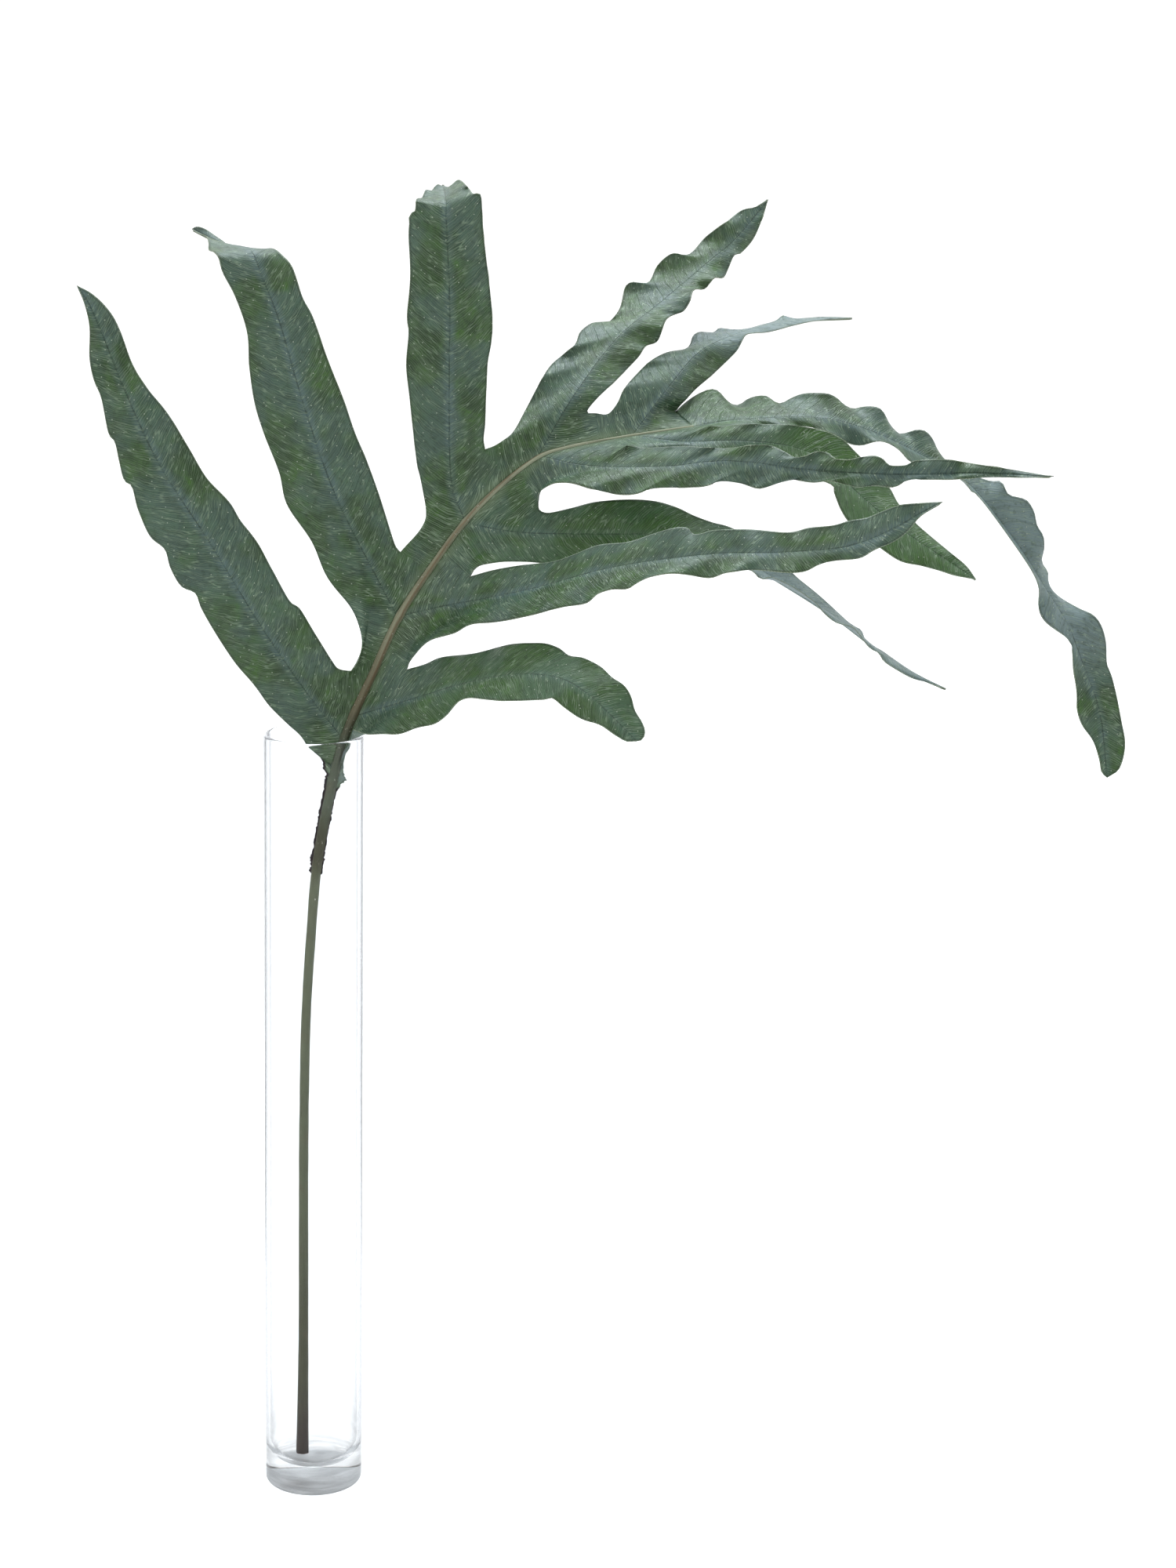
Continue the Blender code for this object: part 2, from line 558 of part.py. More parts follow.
def build_vase():
    """The glass cylinder: one turned wall with a thick flat foot and a rounded hollow."""
    inner = VASE_RADIUS - VASE_WALL
    rim = VASE_WALL / 2
    profile = [(0.0, 0.0)]
    for step in range(4):
        turn = math.radians(30 * step)
        profile.append(
            (VASE_RADIUS - VASE_HEEL * (1 - math.sin(turn)), VASE_HEEL * (1 - math.cos(turn)))
        )
    for step in range(5):
        turn = math.radians(45 * step)
        profile.append(
            (VASE_RADIUS - rim + rim * math.cos(turn), VASE_HEIGHT - rim + rim * math.sin(turn))
        )
    for step in range(6):
        turn = math.radians(18 * step)
        profile.append(
            (
                inner - VASE_HOLLOW_ROUNDING * (1 - math.cos(turn)),
                VASE_FLOOR + VASE_HOLLOW_ROUNDING * (1 - math.sin(turn)),
            )
        )
    profile.append((0.0, VASE_FLOOR))
    mesh = bmesh.new()
    points = [mesh.verts.new((radius * MM, 0, height * MM)) for radius, height in profile]
    outline = [mesh.edges.new(pair) for pair in zip(points, points[1:])]
    bmesh.ops.spin(
        mesh, geom=points + outline, cent=(0, 0, 0), axis=(0, 0, 1),
        angle=2 * math.pi, steps=VASE_SEGMENTS, use_merge=True,
    )
    bmesh.ops.remove_doubles(mesh, verts=mesh.verts, dist=0.00002)
    bmesh.ops.recalc_face_normals(mesh, faces=mesh.faces)
    vase = add_object("glass_vase", mesh, material("glass", (0.93, 0.96, 0.95), 0.03, alpha=0.25))
    vase.data.shade_smooth()
    vase.data.set_sharp_from_angle(angle=math.radians(40))
    return vase


def main():
    for old in list(bpy.data.objects):
        bpy.data.objects.remove(old)
    rachis = Rachis()
    build_vase()
    build_stalk(rachis)
    build_blade(rachis)


main()
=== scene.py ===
import math

import bmesh
import bpy
from mathutils import Matrix, Vector, noise


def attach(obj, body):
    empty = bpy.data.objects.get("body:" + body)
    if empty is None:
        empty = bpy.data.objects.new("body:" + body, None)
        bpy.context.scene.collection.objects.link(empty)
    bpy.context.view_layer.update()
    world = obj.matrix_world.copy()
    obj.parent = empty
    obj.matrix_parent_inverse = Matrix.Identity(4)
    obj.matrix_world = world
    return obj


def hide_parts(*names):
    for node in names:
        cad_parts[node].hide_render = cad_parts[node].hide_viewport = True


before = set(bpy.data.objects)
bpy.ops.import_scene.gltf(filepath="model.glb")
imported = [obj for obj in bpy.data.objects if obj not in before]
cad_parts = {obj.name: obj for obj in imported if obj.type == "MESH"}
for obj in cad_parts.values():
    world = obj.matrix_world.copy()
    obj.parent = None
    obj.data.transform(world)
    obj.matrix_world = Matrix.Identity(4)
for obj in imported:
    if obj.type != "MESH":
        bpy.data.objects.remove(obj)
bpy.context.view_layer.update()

bpy.ops.object.select_all(action="DESELECT")
MM = 0.001


# The vase: one tall tube of clear colourless glass with a thick flat foot, a softened heel and a
# fire-rounded rim. It stands on the floor by itself, and the cut stalk leans inside it.
VASE_RADIUS = 0.025
VASE_HEIGHT = 0.400
VASE_WALL = 0.0025
VASE_FLOOR = 0.0123
VASE_HEEL = 0.003
VASE_HOLLOW_ROUNDING = 0.013
VASE_RIM_ROUNDING = VASE_WALL * 0.46
VASE_MIDDLE_INSET = 0.002
VASE_SIDES = 128
CLOSE = 0.00002


def on_all_of_it(step, **settings):
    """Takes one step of edit mode on the whole of the active mesh."""
    bpy.ops.object.mode_set(mode="EDIT")
    bpy.ops.mesh.select_all(action="SELECT")
    step(**settings)
    bpy.ops.object.mode_set(mode="OBJECT")


def pick_faces(piece, wanted):
    """Selects only the faces that the test names, in edit mode."""
    mesh = bmesh.from_edit_mesh(piece.data)
    for face in mesh.faces:
        face.select_set(False)
    mesh.select_flush(False)
    for face in mesh.faces:
        if wanted(face):
            face.select_set(True)
    mesh.select_flush(True)
    bmesh.update_edit_mesh(piece.data)


def pick_ring(piece, radius, height):
    """Selects only the ring of edges at that radius and height, in edit mode."""
    mesh = bmesh.from_edit_mesh(piece.data)
    for edge in mesh.edges:
        edge.select_set(False)
    mesh.select_flush(False)
    for edge in mesh.edges:
        ends = [vertex.co for vertex in edge.verts]
        level = all(abs(end.z - height) < CLOSE for end in ends)
        round_it = all(abs(math.hypot(end.x, end.y) - radius) < CLOSE for end in ends)
        edge.select_set(level and round_it)
    bmesh.update_edit_mesh(piece.data)


bpy.ops.mesh.primitive_cylinder_add(
    vertices=VASE_SIDES, radius=VASE_RADIUS, depth=VASE_HEIGHT, location=(0, 0, VASE_HEIGHT / 2)
)
vase = bpy.context.object
vase.name = "clear_vase"
bpy.ops.object.transform_apply(location=True, rotation=True, scale=True)
bpy.ops.object.mode_set(mode="EDIT")
bpy.ops.mesh.select_mode(type="FACE")
pick_faces(vase, lambda face: face.calc_center_median().z > VASE_HEIGHT - CLOSE)
bpy.ops.mesh.inset(thickness=VASE_WALL)
inner_radius = VASE_RADIUS - VASE_WALL / math.cos(math.pi / VASE_SIDES)
bpy.ops.mesh.extrude_region_move(TRANSFORM_OT_translate={"value": (0, 0, VASE_FLOOR - VASE_HEIGHT)})
bpy.ops.mesh.select_mode(type="EDGE")
for radius, height, rounding, segments in (
    (VASE_RADIUS, 0.0, VASE_HEEL, 7),
    (inner_radius, VASE_FLOOR, VASE_HOLLOW_ROUNDING, 14),
    (VASE_RADIUS, VASE_HEIGHT, VASE_RIM_ROUNDING, 6),
    (inner_radius, VASE_HEIGHT, VASE_RIM_ROUNDING, 6),
):
    pick_ring(vase, radius, height)
    bpy.ops.mesh.bevel(offset=rounding, offset_type="OFFSET", segments=segments, affect="EDGES")
bpy.ops.mesh.select_mode(type="FACE")
pick_faces(vase, lambda face: len(face.verts) > 4)
bpy.ops.mesh.inset(thickness=VASE_MIDDLE_INSET, use_individual=True)
bpy.ops.mesh.poke()
bpy.ops.object.mode_set(mode="OBJECT")
on_all_of_it(bpy.ops.mesh.normals_make_consistent, inside=False)
bpy.ops.object.shade_smooth()


def put(tree, kind, feeds, **settings):
    """Adds a node, sets it, and gives each named input a plain value or another node's output."""
    made = tree.nodes.new(kind)
    for name, value in settings.items():
        setattr(made, name, value)
    for name, value in feeds.items():
        socket = made.inputs[name]
        if isinstance(value, bpy.types.NodeSocket):
            tree.links.new(value, socket)
        else:
            socket.default_value = value
    return made


def work(tree, operation, *values):
    """One step of arithmetic, as a value that other nodes can read."""
    return put(tree, "ShaderNodeMath", dict(enumerate(values)), operation=operation).outputs[0]


def fade(tree, value, low, high, start=0.0, end=1.0):
    """Eases from start to end as the value goes from low to high."""
    feeds = {"Value": value, "From Min": low, "From Max": high, "To Min": start, "To Max": end}
    return put(tree, "ShaderNodeMapRange", feeds, interpolation_type="SMOOTHSTEP").outputs["Result"]


def new_finish(name, **sockets):
    """A new material, with its shader's own sockets set."""
    finish = bpy.data.materials.new(name)
    finish.use_nodes = True
    shader = finish.node_tree.nodes["Principled BSDF"]
    for socket, value in sockets.items():
        shader.inputs[socket.replace("_", " ")].default_value = value
    return finish, finish.node_tree, shader


# The colour sockets of a mix node, which shares its sockets' names with other kinds of value
MIX_SHARE, MIX_BELOW, MIX_ABOVE, MIXED = 0, 6, 7, 2


def tint(tree, below, colour, share):
    """Lays a colour over another by a share that changes over the surface."""
    feeds = {MIX_SHARE: share, MIX_BELOW: below, MIX_ABOVE: (*colour, 1)}
    return put(tree, "ShaderNodeMix", feeds, data_type="RGBA").outputs[MIXED]


def times(tree, value, other):
    """One value multiplied by another."""
    return work(tree, "MULTIPLY", value, other)


def layered(tree, colour, *layers):
    """Lays one colour after another over the first, each by its own share."""
    for laid_over, share in layers:
        colour = tint(tree, colour, laid_over, share)
    return colour


def grain(tree, where, scale, detail, **more):
    """Soft noise at that scale, from 0 to 1."""
    feeds = {"Vector": where, "Scale": scale, "Detail": detail, **more}
    return put(tree, "ShaderNodeTexNoise", feeds).outputs["Fac"]


def stretched(tree, where, scale):
    """A place scaled differently each way, so that noise read there is drawn out."""
    return put(tree, "ShaderNodeMapping", {"Vector": where, "Scale": scale}).outputs["Vector"]


def emboss(tree, shader, relief, strength, distance):
    """Lets the surface rise and fall with a value."""
    bump = put(tree, "ShaderNodeBump", {"Height": relief, "Strength": strength, "Distance": distance})
    tree.links.new(bump.outputs["Normal"], shader.inputs["Normal"])


clear_glass, tree, shader = new_finish(
    "clear drawn glass", Roughness=0.01, IOR=1.2, Specular_IOR_Level=0.5, Transmission_Weight=1.0
)
place = put(tree, "ShaderNodeTexCoord", {}).outputs["Object"]
height = put(tree, "ShaderNodeSeparateXYZ", {"Vector": place}).outputs["Z"]
sideways = put(tree, "ShaderNodeLayerWeight", {"Blend": 0.5}).outputs["Facing"]
emboss(tree, shader, grain(tree, stretched(tree, place, (38, 38, 5)), 1.0, 1.0), 0.12, 0.0006)
# Painted shade and reflection: grey streaks in the thick floor and darker streaked sides over the rounded
# hollow above it
painted_streaks = grain(tree, stretched(tree, place, (45, 45, 420)), 1.0, 2.0)
painted_foot_shade = times(tree, fade(tree, height, 0.017, 0.011), fade(tree, painted_streaks, 0.40, 0.58, 0.1, 0.85))
painted_hollow_shade = times(tree, fade(tree, height, 0.068, 0.018), fade(tree, sideways, 0.30, 0.75))
painted_hollow_shade = times(tree, painted_hollow_shade, fade(tree, painted_streaks, 0.30, 0.60, 0.5, 0.95))
# Seen edge-on along its wall the glass is painted faintly grey and blue, a painted reflection of the darker
# studio, which draws its two sides and its rim
colour = layered(
    tree, (0.988, 0.990, 0.992, 1),
    ((0.50, 0.51, 0.60), fade(tree, sideways, 0.55, 0.95, 0.0, 0.9)),
    ((0.60, 0.602, 0.605), painted_foot_shade),
    ((0.42, 0.422, 0.425), painted_hollow_shade),
)
tree.links.new(colour, shader.inputs["Base Color"])
# Its sides let some light straight through, more so near the mouth, and it casts hardly any shadow
clear_side = times(tree, fade(tree, sideways, 0.62, 0.86), fade(tree, height, 0.09, 0.38, 0.16, 0.50))
clear_side = times(tree, clear_side, fade(tree, height, 0.012, 0.06))
shadow = put(tree, "ShaderNodeLightPath", {}).outputs["Is Shadow Ray"]
clear_share = work(tree, "MAXIMUM", clear_side, times(tree, shadow, 0.86))
tree.links.new(work(tree, "SUBTRACT", 1.0, clear_share), shader.inputs["Alpha"])
vase.data.materials.clear()
vase.data.materials.append(clear_glass)
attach(vase, "root")
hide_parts("glass_vase")


# The stalk and the rachis: one woody rod that rises from its cut end on the vase's floor, leans
# out over the rim and tapers away as the midrib of the whole leaf. It grew round, faintly
# grooved along its length, with a slight knuckle where each lobe leaves it.
STALK_SIDES = 24
STALK_RINGS = 520
STALK_TOP = 374.3
STALK_FOOT_HEIGHT = 12.6
STALK_FOOT_FLARE = 0.8
STALK_FLARE_HEIGHT = 90.0
BLADE_START = 0.55
KNUCKLE_SWELL, KNUCKLE_LENGTH = 0.09, 2.2
UNEVEN_SHARE, UNEVEN_LENGTH = 0.05, 14
GROOVES, GROOVE_DEPTH, GROOVE_TURN = 5, 0.035, 1.3
FINE_GROOVES, FINE_GROOVE_DEPTH, FINE_GROOVE_TWIST = 9, 0.02, 14
# Where the picture is taken from, in millimetres, how far down it looks and how far it leans. Points
# of the frond are given as (x, z) seen from there, with how far behind the plane Y = 0 they lie
EYE = Vector((137.0, -1712.0, 792.5))
TILT, ROLL = math.radians(13.65), math.radians(1.08)
AHEAD = Vector((0, math.cos(TILT), -math.sin(TILT)))
ABOVE = Vector((0, math.sin(TILT), math.cos(TILT)))
VIEW_ASIDE = Vector((1, 0, 0)) * math.cos(ROLL) + ABOVE * math.sin(ROLL)
VIEW_ABOVE = ABOVE * math.cos(ROLL) - Vector((1, 0, 0)) * math.sin(ROLL)
STALK_POINTS = [
    (-6.0, 13.5, 2), (-5.4, 80.7, 3), (-5.3, 166.8, 4), (-4.9, 209, 4), (-4.0, 251, 4), (-1.6, 292.6, 4),
    (1.9, 333.6, 4), (9.4, STALK_TOP, 4), (17.1, 402.5, 5), (29.1, 430.3, 7), (42.2, 459.8, 10),
    (58.6, 486.0, 14), (75.3, 509.3, 18), (93.9, 528.3, 23), (109.9, 540.6, 28), (123.2, 545.4, 32),
    (140.3, 549.2, 37), (158.6, 552.6, 43), (185.0, 557.0, 52),
]
END_RIB_POINTS = [
    (205.8, 560.8, 58), (245.1, 562.5, 68), (269.7, 557.1, 74), (297.4, 544.9, 80), (321.2, 530.6, 83),
    (346.1, 501.3, 84), (359.8, 481.2, 84), (371.9, 463, 83), (380.2, 444.2, 82), (390.5, 418, 80),
    (395.8, 385, 77),
]
RACHIS_RADIUS = [
    (10, 2.45), (29, 2.1), (58, 1.7), (75, 1.4), (94, 1.15), (110, 0.95), (140, 0.8), (185, 0.7),
]
LEFT_LEAN = [(10, 0), (42, 8), (75, 18), (110, 34), (140, 48), (185, 60)]
RIGHT_LEAN = [(10, 10), (42, 20), (75, 34), (110, 52), (149, 76), (185, 82)]
KNUCKLES = [15.5, 20, 42.2, 43, 74.6, 74, 110, 111, 156, 157]
LEFT, RIGHT = -1, 1


def seen(x, z, depth):
    """The point that shows at (x, z) from the front and lies that far behind the plane Y = 0."""
    flat = Vector((x, 0.0, z))
    return flat + (flat - EYE) * (depth / -EYE.y)


def as_seen_x(point):
    """The x at which a point shows on the plane Y = 0."""
    return EYE.x + (point.x - EYE.x) * -EYE.y / (point.y - EYE.y)


def smooth(t):
    """An even ease from 0 to 1."""
    t = min(max(t, 0.0), 1.0)
    return t * t * (3 - 2 * t)


def between(pairs, at):
    """Reads a list of (place, value) pairs at a place, on straight lines between them."""
    if at <= pairs[0][0]:
        return pairs[0][1]
    for (a, low), (b, high) in zip(pairs, pairs[1:]):
        if at <= b:
            return low + (high - low) * ((at - a) / (b - a))
    return pairs[-1][1]


class Line:
    """A smooth curve through points, read by the share of its length."""

    STEPS = 24

    def __init__(self, points):
        ends = [points[0] * 2 - points[1], *points, points[-1] * 2 - points[-2]]
        self.samples = []
        for a, b, c, d in zip(ends, ends[1:], ends[2:], ends[3:]):
            for step in range(self.STEPS):
                t = step / self.STEPS
                bend = (a * 2 - b * 5 + c * 4 - d) * t**2 + (b * 3 - c * 3 + d - a) * t**3
                self.samples.append((b * 2 + (c - a) * t + bend) / 2)
        self.samples.append(points[-1].copy())
        self.lengths = [0.0]
        for a, b in zip(self.samples, self.samples[1:]):
            self.lengths.append(self.lengths[-1] + (b - a).length)
        self.length = self.lengths[-1]

    def at(self, share):
        """The point at that share of the length."""
        wanted = min(max(share, 0.0), 1.0) * self.length
        low, high = 0, len(self.lengths) - 1
        while high - low > 1:
            middle = (low + high) // 2
            if self.lengths[middle] <= wanted:
                low = middle
            else:
                high = middle
        span = self.lengths[high] - self.lengths[low]
        return self.samples[low].lerp(self.samples[high], (wanted - self.lengths[low]) / span)

    def tangent(self, share, reach=0.004):
        """The way the curve runs there, judged over a short reach to each side."""
        return (self.at(min(share + reach, 1.0)) - self.at(max(share - reach, 0.0))).normalized()

    def share_at_x(self, x):
        """The share at which the curve's last crossing of that x lies, as seen from the front."""
        for index in range(len(self.samples) - 1, 0, -1):
            a, b = (as_seen_x(p) for p in self.samples[index - 1 : index + 1])
            if a <= x <= b:
                share = (x - a) / (b - a)
                return (self.lengths[index - 1] * (1 - share) + self.lengths[index] * share) / self.length
        raise ValueError(f"the curve does not pass x = {x}")


class Rachis:
    """The stalk and rachis: its curve, its radius, and the face of the blade on each side."""

    def __init__(self):
        self.line = Line([seen(*point) for point in STALK_POINTS])

    def radius(self, share):
        point = self.line.at(share)
        flare = max(0.0, 1 - (point.z - STALK_FOOT_HEIGHT) / STALK_FLARE_HEIGHT)
        if point.z < STALK_TOP:
            return RACHIS_RADIUS[0][1] + STALK_FOOT_FLARE * flare**2
        return between(RACHIS_RADIUS, as_seen_x(point))

    def normal(self, share, hand):
        """The way the blade's upper face looks on that side."""
        point = self.line.at(share)
        lean = math.radians(between(LEFT_LEAN if hand == LEFT else RIGHT_LEAN, as_seen_x(point)))
        tangent = self.line.tangent(share)
        face = Vector((0, -math.cos(lean), math.sin(lean)))
        return (face - tangent * face.dot(tangent)).normalized()

    def outward(self, share, hand):
        """The way the blade leaves the rachis on that side."""
        return self.line.tangent(share).cross(self.normal(share, hand)).normalized() * hand

    def edge(self, share, hand):
        """Where the blade begins on that side, just inside the rod that it grows from."""
        return self.line.at(share) + self.outward(share, hand) * (self.radius(share) * BLADE_START)


def new_grid(name, columns, rows):
    """A flat grid, to be given its shape: columns run along x and rows along y."""
    bpy.ops.mesh.primitive_grid_add(
        x_subdivisions=columns - 1, y_subdivisions=rows - 1, size=1, calc_uvs=True
    )
    sheet = bpy.context.object
    sheet.name = name
    places = [
        (round((vertex.co.x + 0.5) * (columns - 1)), round((vertex.co.y + 0.5) * (rows - 1)))
        for vertex in sheet.data.vertices
    ]
    return sheet, places


def lay_out(sheet, places, flat):
    """Gives a grid its own map in metres, so that patterns follow it at their real size."""
    layer = sheet.data.uv_layers.active.data
    for loop in sheet.data.loops:
        column, row = places[loop.vertex_index]
        layer[loop.index].uv = flat[column][row]


rachis = Rachis()
knuckle_shares = [rachis.line.share_at_x(x) for x in KNUCKLES]
stations = []
for ring in range(STALK_RINGS):
    share = ring / (STALK_RINGS - 1)
    centre = rachis.line.at(share)
    across, face = rachis.outward(share, RIGHT), rachis.normal(share, RIGHT)
    if ring == 0:
        across, face = Vector((1, 0, 0)), Vector((0, -1, 0))
        centre.z = STALK_FOOT_HEIGHT
    apart = [(share - at) * rachis.line.length / KNUCKLE_LENGTH for at in knuckle_shares]
    knuckle = KNUCKLE_SWELL * sum(math.exp(-(away**2)) for away in apart)
    uneven = noise.noise(Vector((0, 0, centre.z / UNEVEN_LENGTH))) * UNEVEN_SHARE
    stations.append((centre, across, face, rachis.radius(share) * (1 + knuckle + uneven), share))
rod, places = new_grid("stalk_and_rachis", STALK_RINGS, STALK_SIDES + 1)
flat = []
for centre, across, face, radius, share in stations:
    around = radius * math.tau * MM
    flat.append([
        (share * rachis.line.length * MM, around * side / STALK_SIDES) for side in range(STALK_SIDES + 1)
    ])
for vertex, (ring, side) in zip(rod.data.vertices, places):
    centre, across, face, radius, share = stations[ring]
    angle = math.tau * (side % STALK_SIDES) / STALK_SIDES
    grooved = 1 + GROOVE_DEPTH * math.sin(GROOVES * angle + GROOVE_TURN)
    grooved += FINE_GROOVE_DEPTH * math.sin(FINE_GROOVES * angle + share * FINE_GROOVE_TWIST)
    vertex.co = (centre + (across * math.cos(angle) + face * math.sin(angle)) * radius * grooved) * MM
lay_out(rod, places, flat)
on_all_of_it(bpy.ops.mesh.remove_doubles, threshold=0.000005)
bpy.ops.object.mode_set(mode="EDIT")
bpy.ops.mesh.select_mode(type="EDGE")
bpy.ops.mesh.select_non_manifold(extend=False)
bpy.ops.mesh.edge_face_add()
bpy.ops.object.mode_set(mode="OBJECT")
on_all_of_it(bpy.ops.mesh.normals_make_consistent, inside=False)
bpy.ops.object.shade_smooth_by_angle(angle=math.radians(55))


woody, tree, shader = new_finish("olive and tan stalk", Specular_IOR_Level=0.25)
place = put(tree, "ShaderNodeTexCoord", {})
height = put(tree, "ShaderNodeSeparateXYZ", {"Vector": place.outputs["Object"]}).outputs["Z"]
fibre = grain(tree, stretched(tree, place.outputs["UV"], (60, 2600, 1)), 1.0, 3.0)
cloudy = grain(tree, place.outputs["Object"], 45.0, 3.0)
fine = grain(tree, place.outputs["Object"], 900.0, 2.0)
groove = put(tree, "ShaderNodeSeparateXYZ", {"Vector": place.outputs["UV"]}).outputs["Y"]
groove = fade(tree, work(tree, "ABSOLUTE", work(tree, "SUBTRACT", groove, 0.0022)), 0.0009, 0.0002)
flecks = times(tree, fade(tree, fine, 0.68, 0.74), fade(tree, height, 0.285, 0.31))
# By height: brown at the cut foot, olive green, dark above the vase's middle, then pale green. Over
# that lie the fibres, brown patches, a brown groove, pale flecks and the raw cut end
colour = layered(
    tree, (0.044, 0.034, 0.030, 1),
    ((0.060, 0.064, 0.036), fade(tree, height, 0.018, 0.06)),
    ((0.095, 0.112, 0.066), fade(tree, height, 0.08, 0.16)),
    ((0.112, 0.130, 0.080), fade(tree, height, 0.20, 0.30)),
    ((0.052, 0.054, 0.028), fade(tree, height, 0.318, 0.335)),
    ((0.080, 0.100, 0.066), fade(tree, height, 0.345, 0.365)),
    ((0.17, 0.155, 0.095), fade(tree, height, 0.392, 0.415)),
    ((0.285, 0.285, 0.19), fade(tree, height, 0.42, 0.455)),
    ((0.37, 0.40, 0.28), fade(tree, height, 0.48, 0.55)),
    ((0.045, 0.040, 0.026), fade(tree, fibre, 0.48, 0.74, 0.0, 0.45)),
    ((0.24, 0.235, 0.16), fade(tree, fibre, 0.42, 0.26, 0.0, 0.15)),
    ((0.11, 0.075, 0.045), fade(tree, cloudy, 0.56, 0.72, 0.0, 0.4)),
    ((0.17, 0.105, 0.055), times(tree, groove, fade(tree, height, 0.40, 0.43, 0.0, 0.6))),
    ((0.5, 0.49, 0.42), flecks),
    ((0.16, 0.062, 0.035), fade(tree, height, 0.0131, 0.0126)),
)
tree.links.new(colour, shader.inputs["Base Color"])
tree.links.new(fade(tree, fibre, 0.3, 0.7, 0.42, 0.62), shader.inputs["Roughness"])
emboss(tree, shader, fibre, 0.5, 0.00025)
rod.data.materials.clear()
rod.data.materials.append(woody)
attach(rod, "root")
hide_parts("frond_stalk")


# The blade: one thin leathery leaf, blue-green with a waxy bloom. It grew from both sides of the
# rachis in ten side lobes and one long end lobe. The lobes wave at their edges, fold over and
# turn as they hang, and below them the leaf is torn to dry brown strips that run down the stalk.
# Sizes are in millimetres, and places along or across a lobe are shares of its length or width.
BLADE_THICKNESS = 0.45
RIB_THICKNESS = 1.3
ROWS = 12
JOINED_COLUMNS = 12
NOTCH_COLUMNS = 10
COLUMN_LENGTH = 2.1
RIB_HALF = 0.08
RIB_ROWS = [0.03]
JOINED, CLEAR = 0.10, 0.16
LEAVING = 1.6
DRAWN_IN_TO = 0.18
BEND_ALONG, BEND_ACROSS = 0.25, 0.12
SOFTENING = 0.025
RIB_REACH = 0.012
PACE_STEPS = 100
NOTCH_BEHIND = 0.85
EVENING = [step * 0.016 for step in (-3, -2, -1, 0, 1, 2, 3)]
EVENING_EASE = 0.05
RIBBED_SWELL = {0: 1.0, 1: 0.75}
ARCH, ARCH_TURN, ARCH_EASE = 0.55, 1.15, 0.1
END_WAVE_START = -0.06
WAVE_GROWTH, WAVE_END, WAVE_FALL, WAVE_SPREAD = 0.12, 0.1, 0.7, 1.6
WAVE_DRIFT, DRIFT_TURNS, DRIFT_STEP = 0.7, 0.41, 0.3
SMALL_WAVE, SMALL_TURNS, SMALL_STEP = 0.22, 2.6, 0.7
MAP_STEP = 0.7
STRIP_RINGS = 200
STRIP_START = 0.45
SEARCH_STEPS = 6000
TEAR_DEPTH, TEAR_LENGTH, SMALL_TEAR_LENGTH = 0.75, 3.1, 1.1
STRIP_BLOOM, BLOOM_FROM, BLOOM_FADE = 0.85, 371, 6
RAGGED_TO, RAGGED_FADE = 376, 8
DRY_TO, DRY_FADE = 364, 12
PICTURE_MIDDLE = (750, 1000)
FOCAL_PIXELS = 4500
FLAT = ([(0, 0)], [(0, 0)])
PLAIN = [(0, 0), (1, 0)]
LEFT_NOTCHES = [(-2.4, 392), (18.6, 432), (42.7, 492.3), (83.8, 543.9), (137.4, 562.6), (176.3, 564.1)]
RIGHT_NOTCHES = [(19.8, 402.6), (46.2, 433.4), (77.2, 480.9), (110.2, 517.8), (153, 546), (193.3, 557.5)]
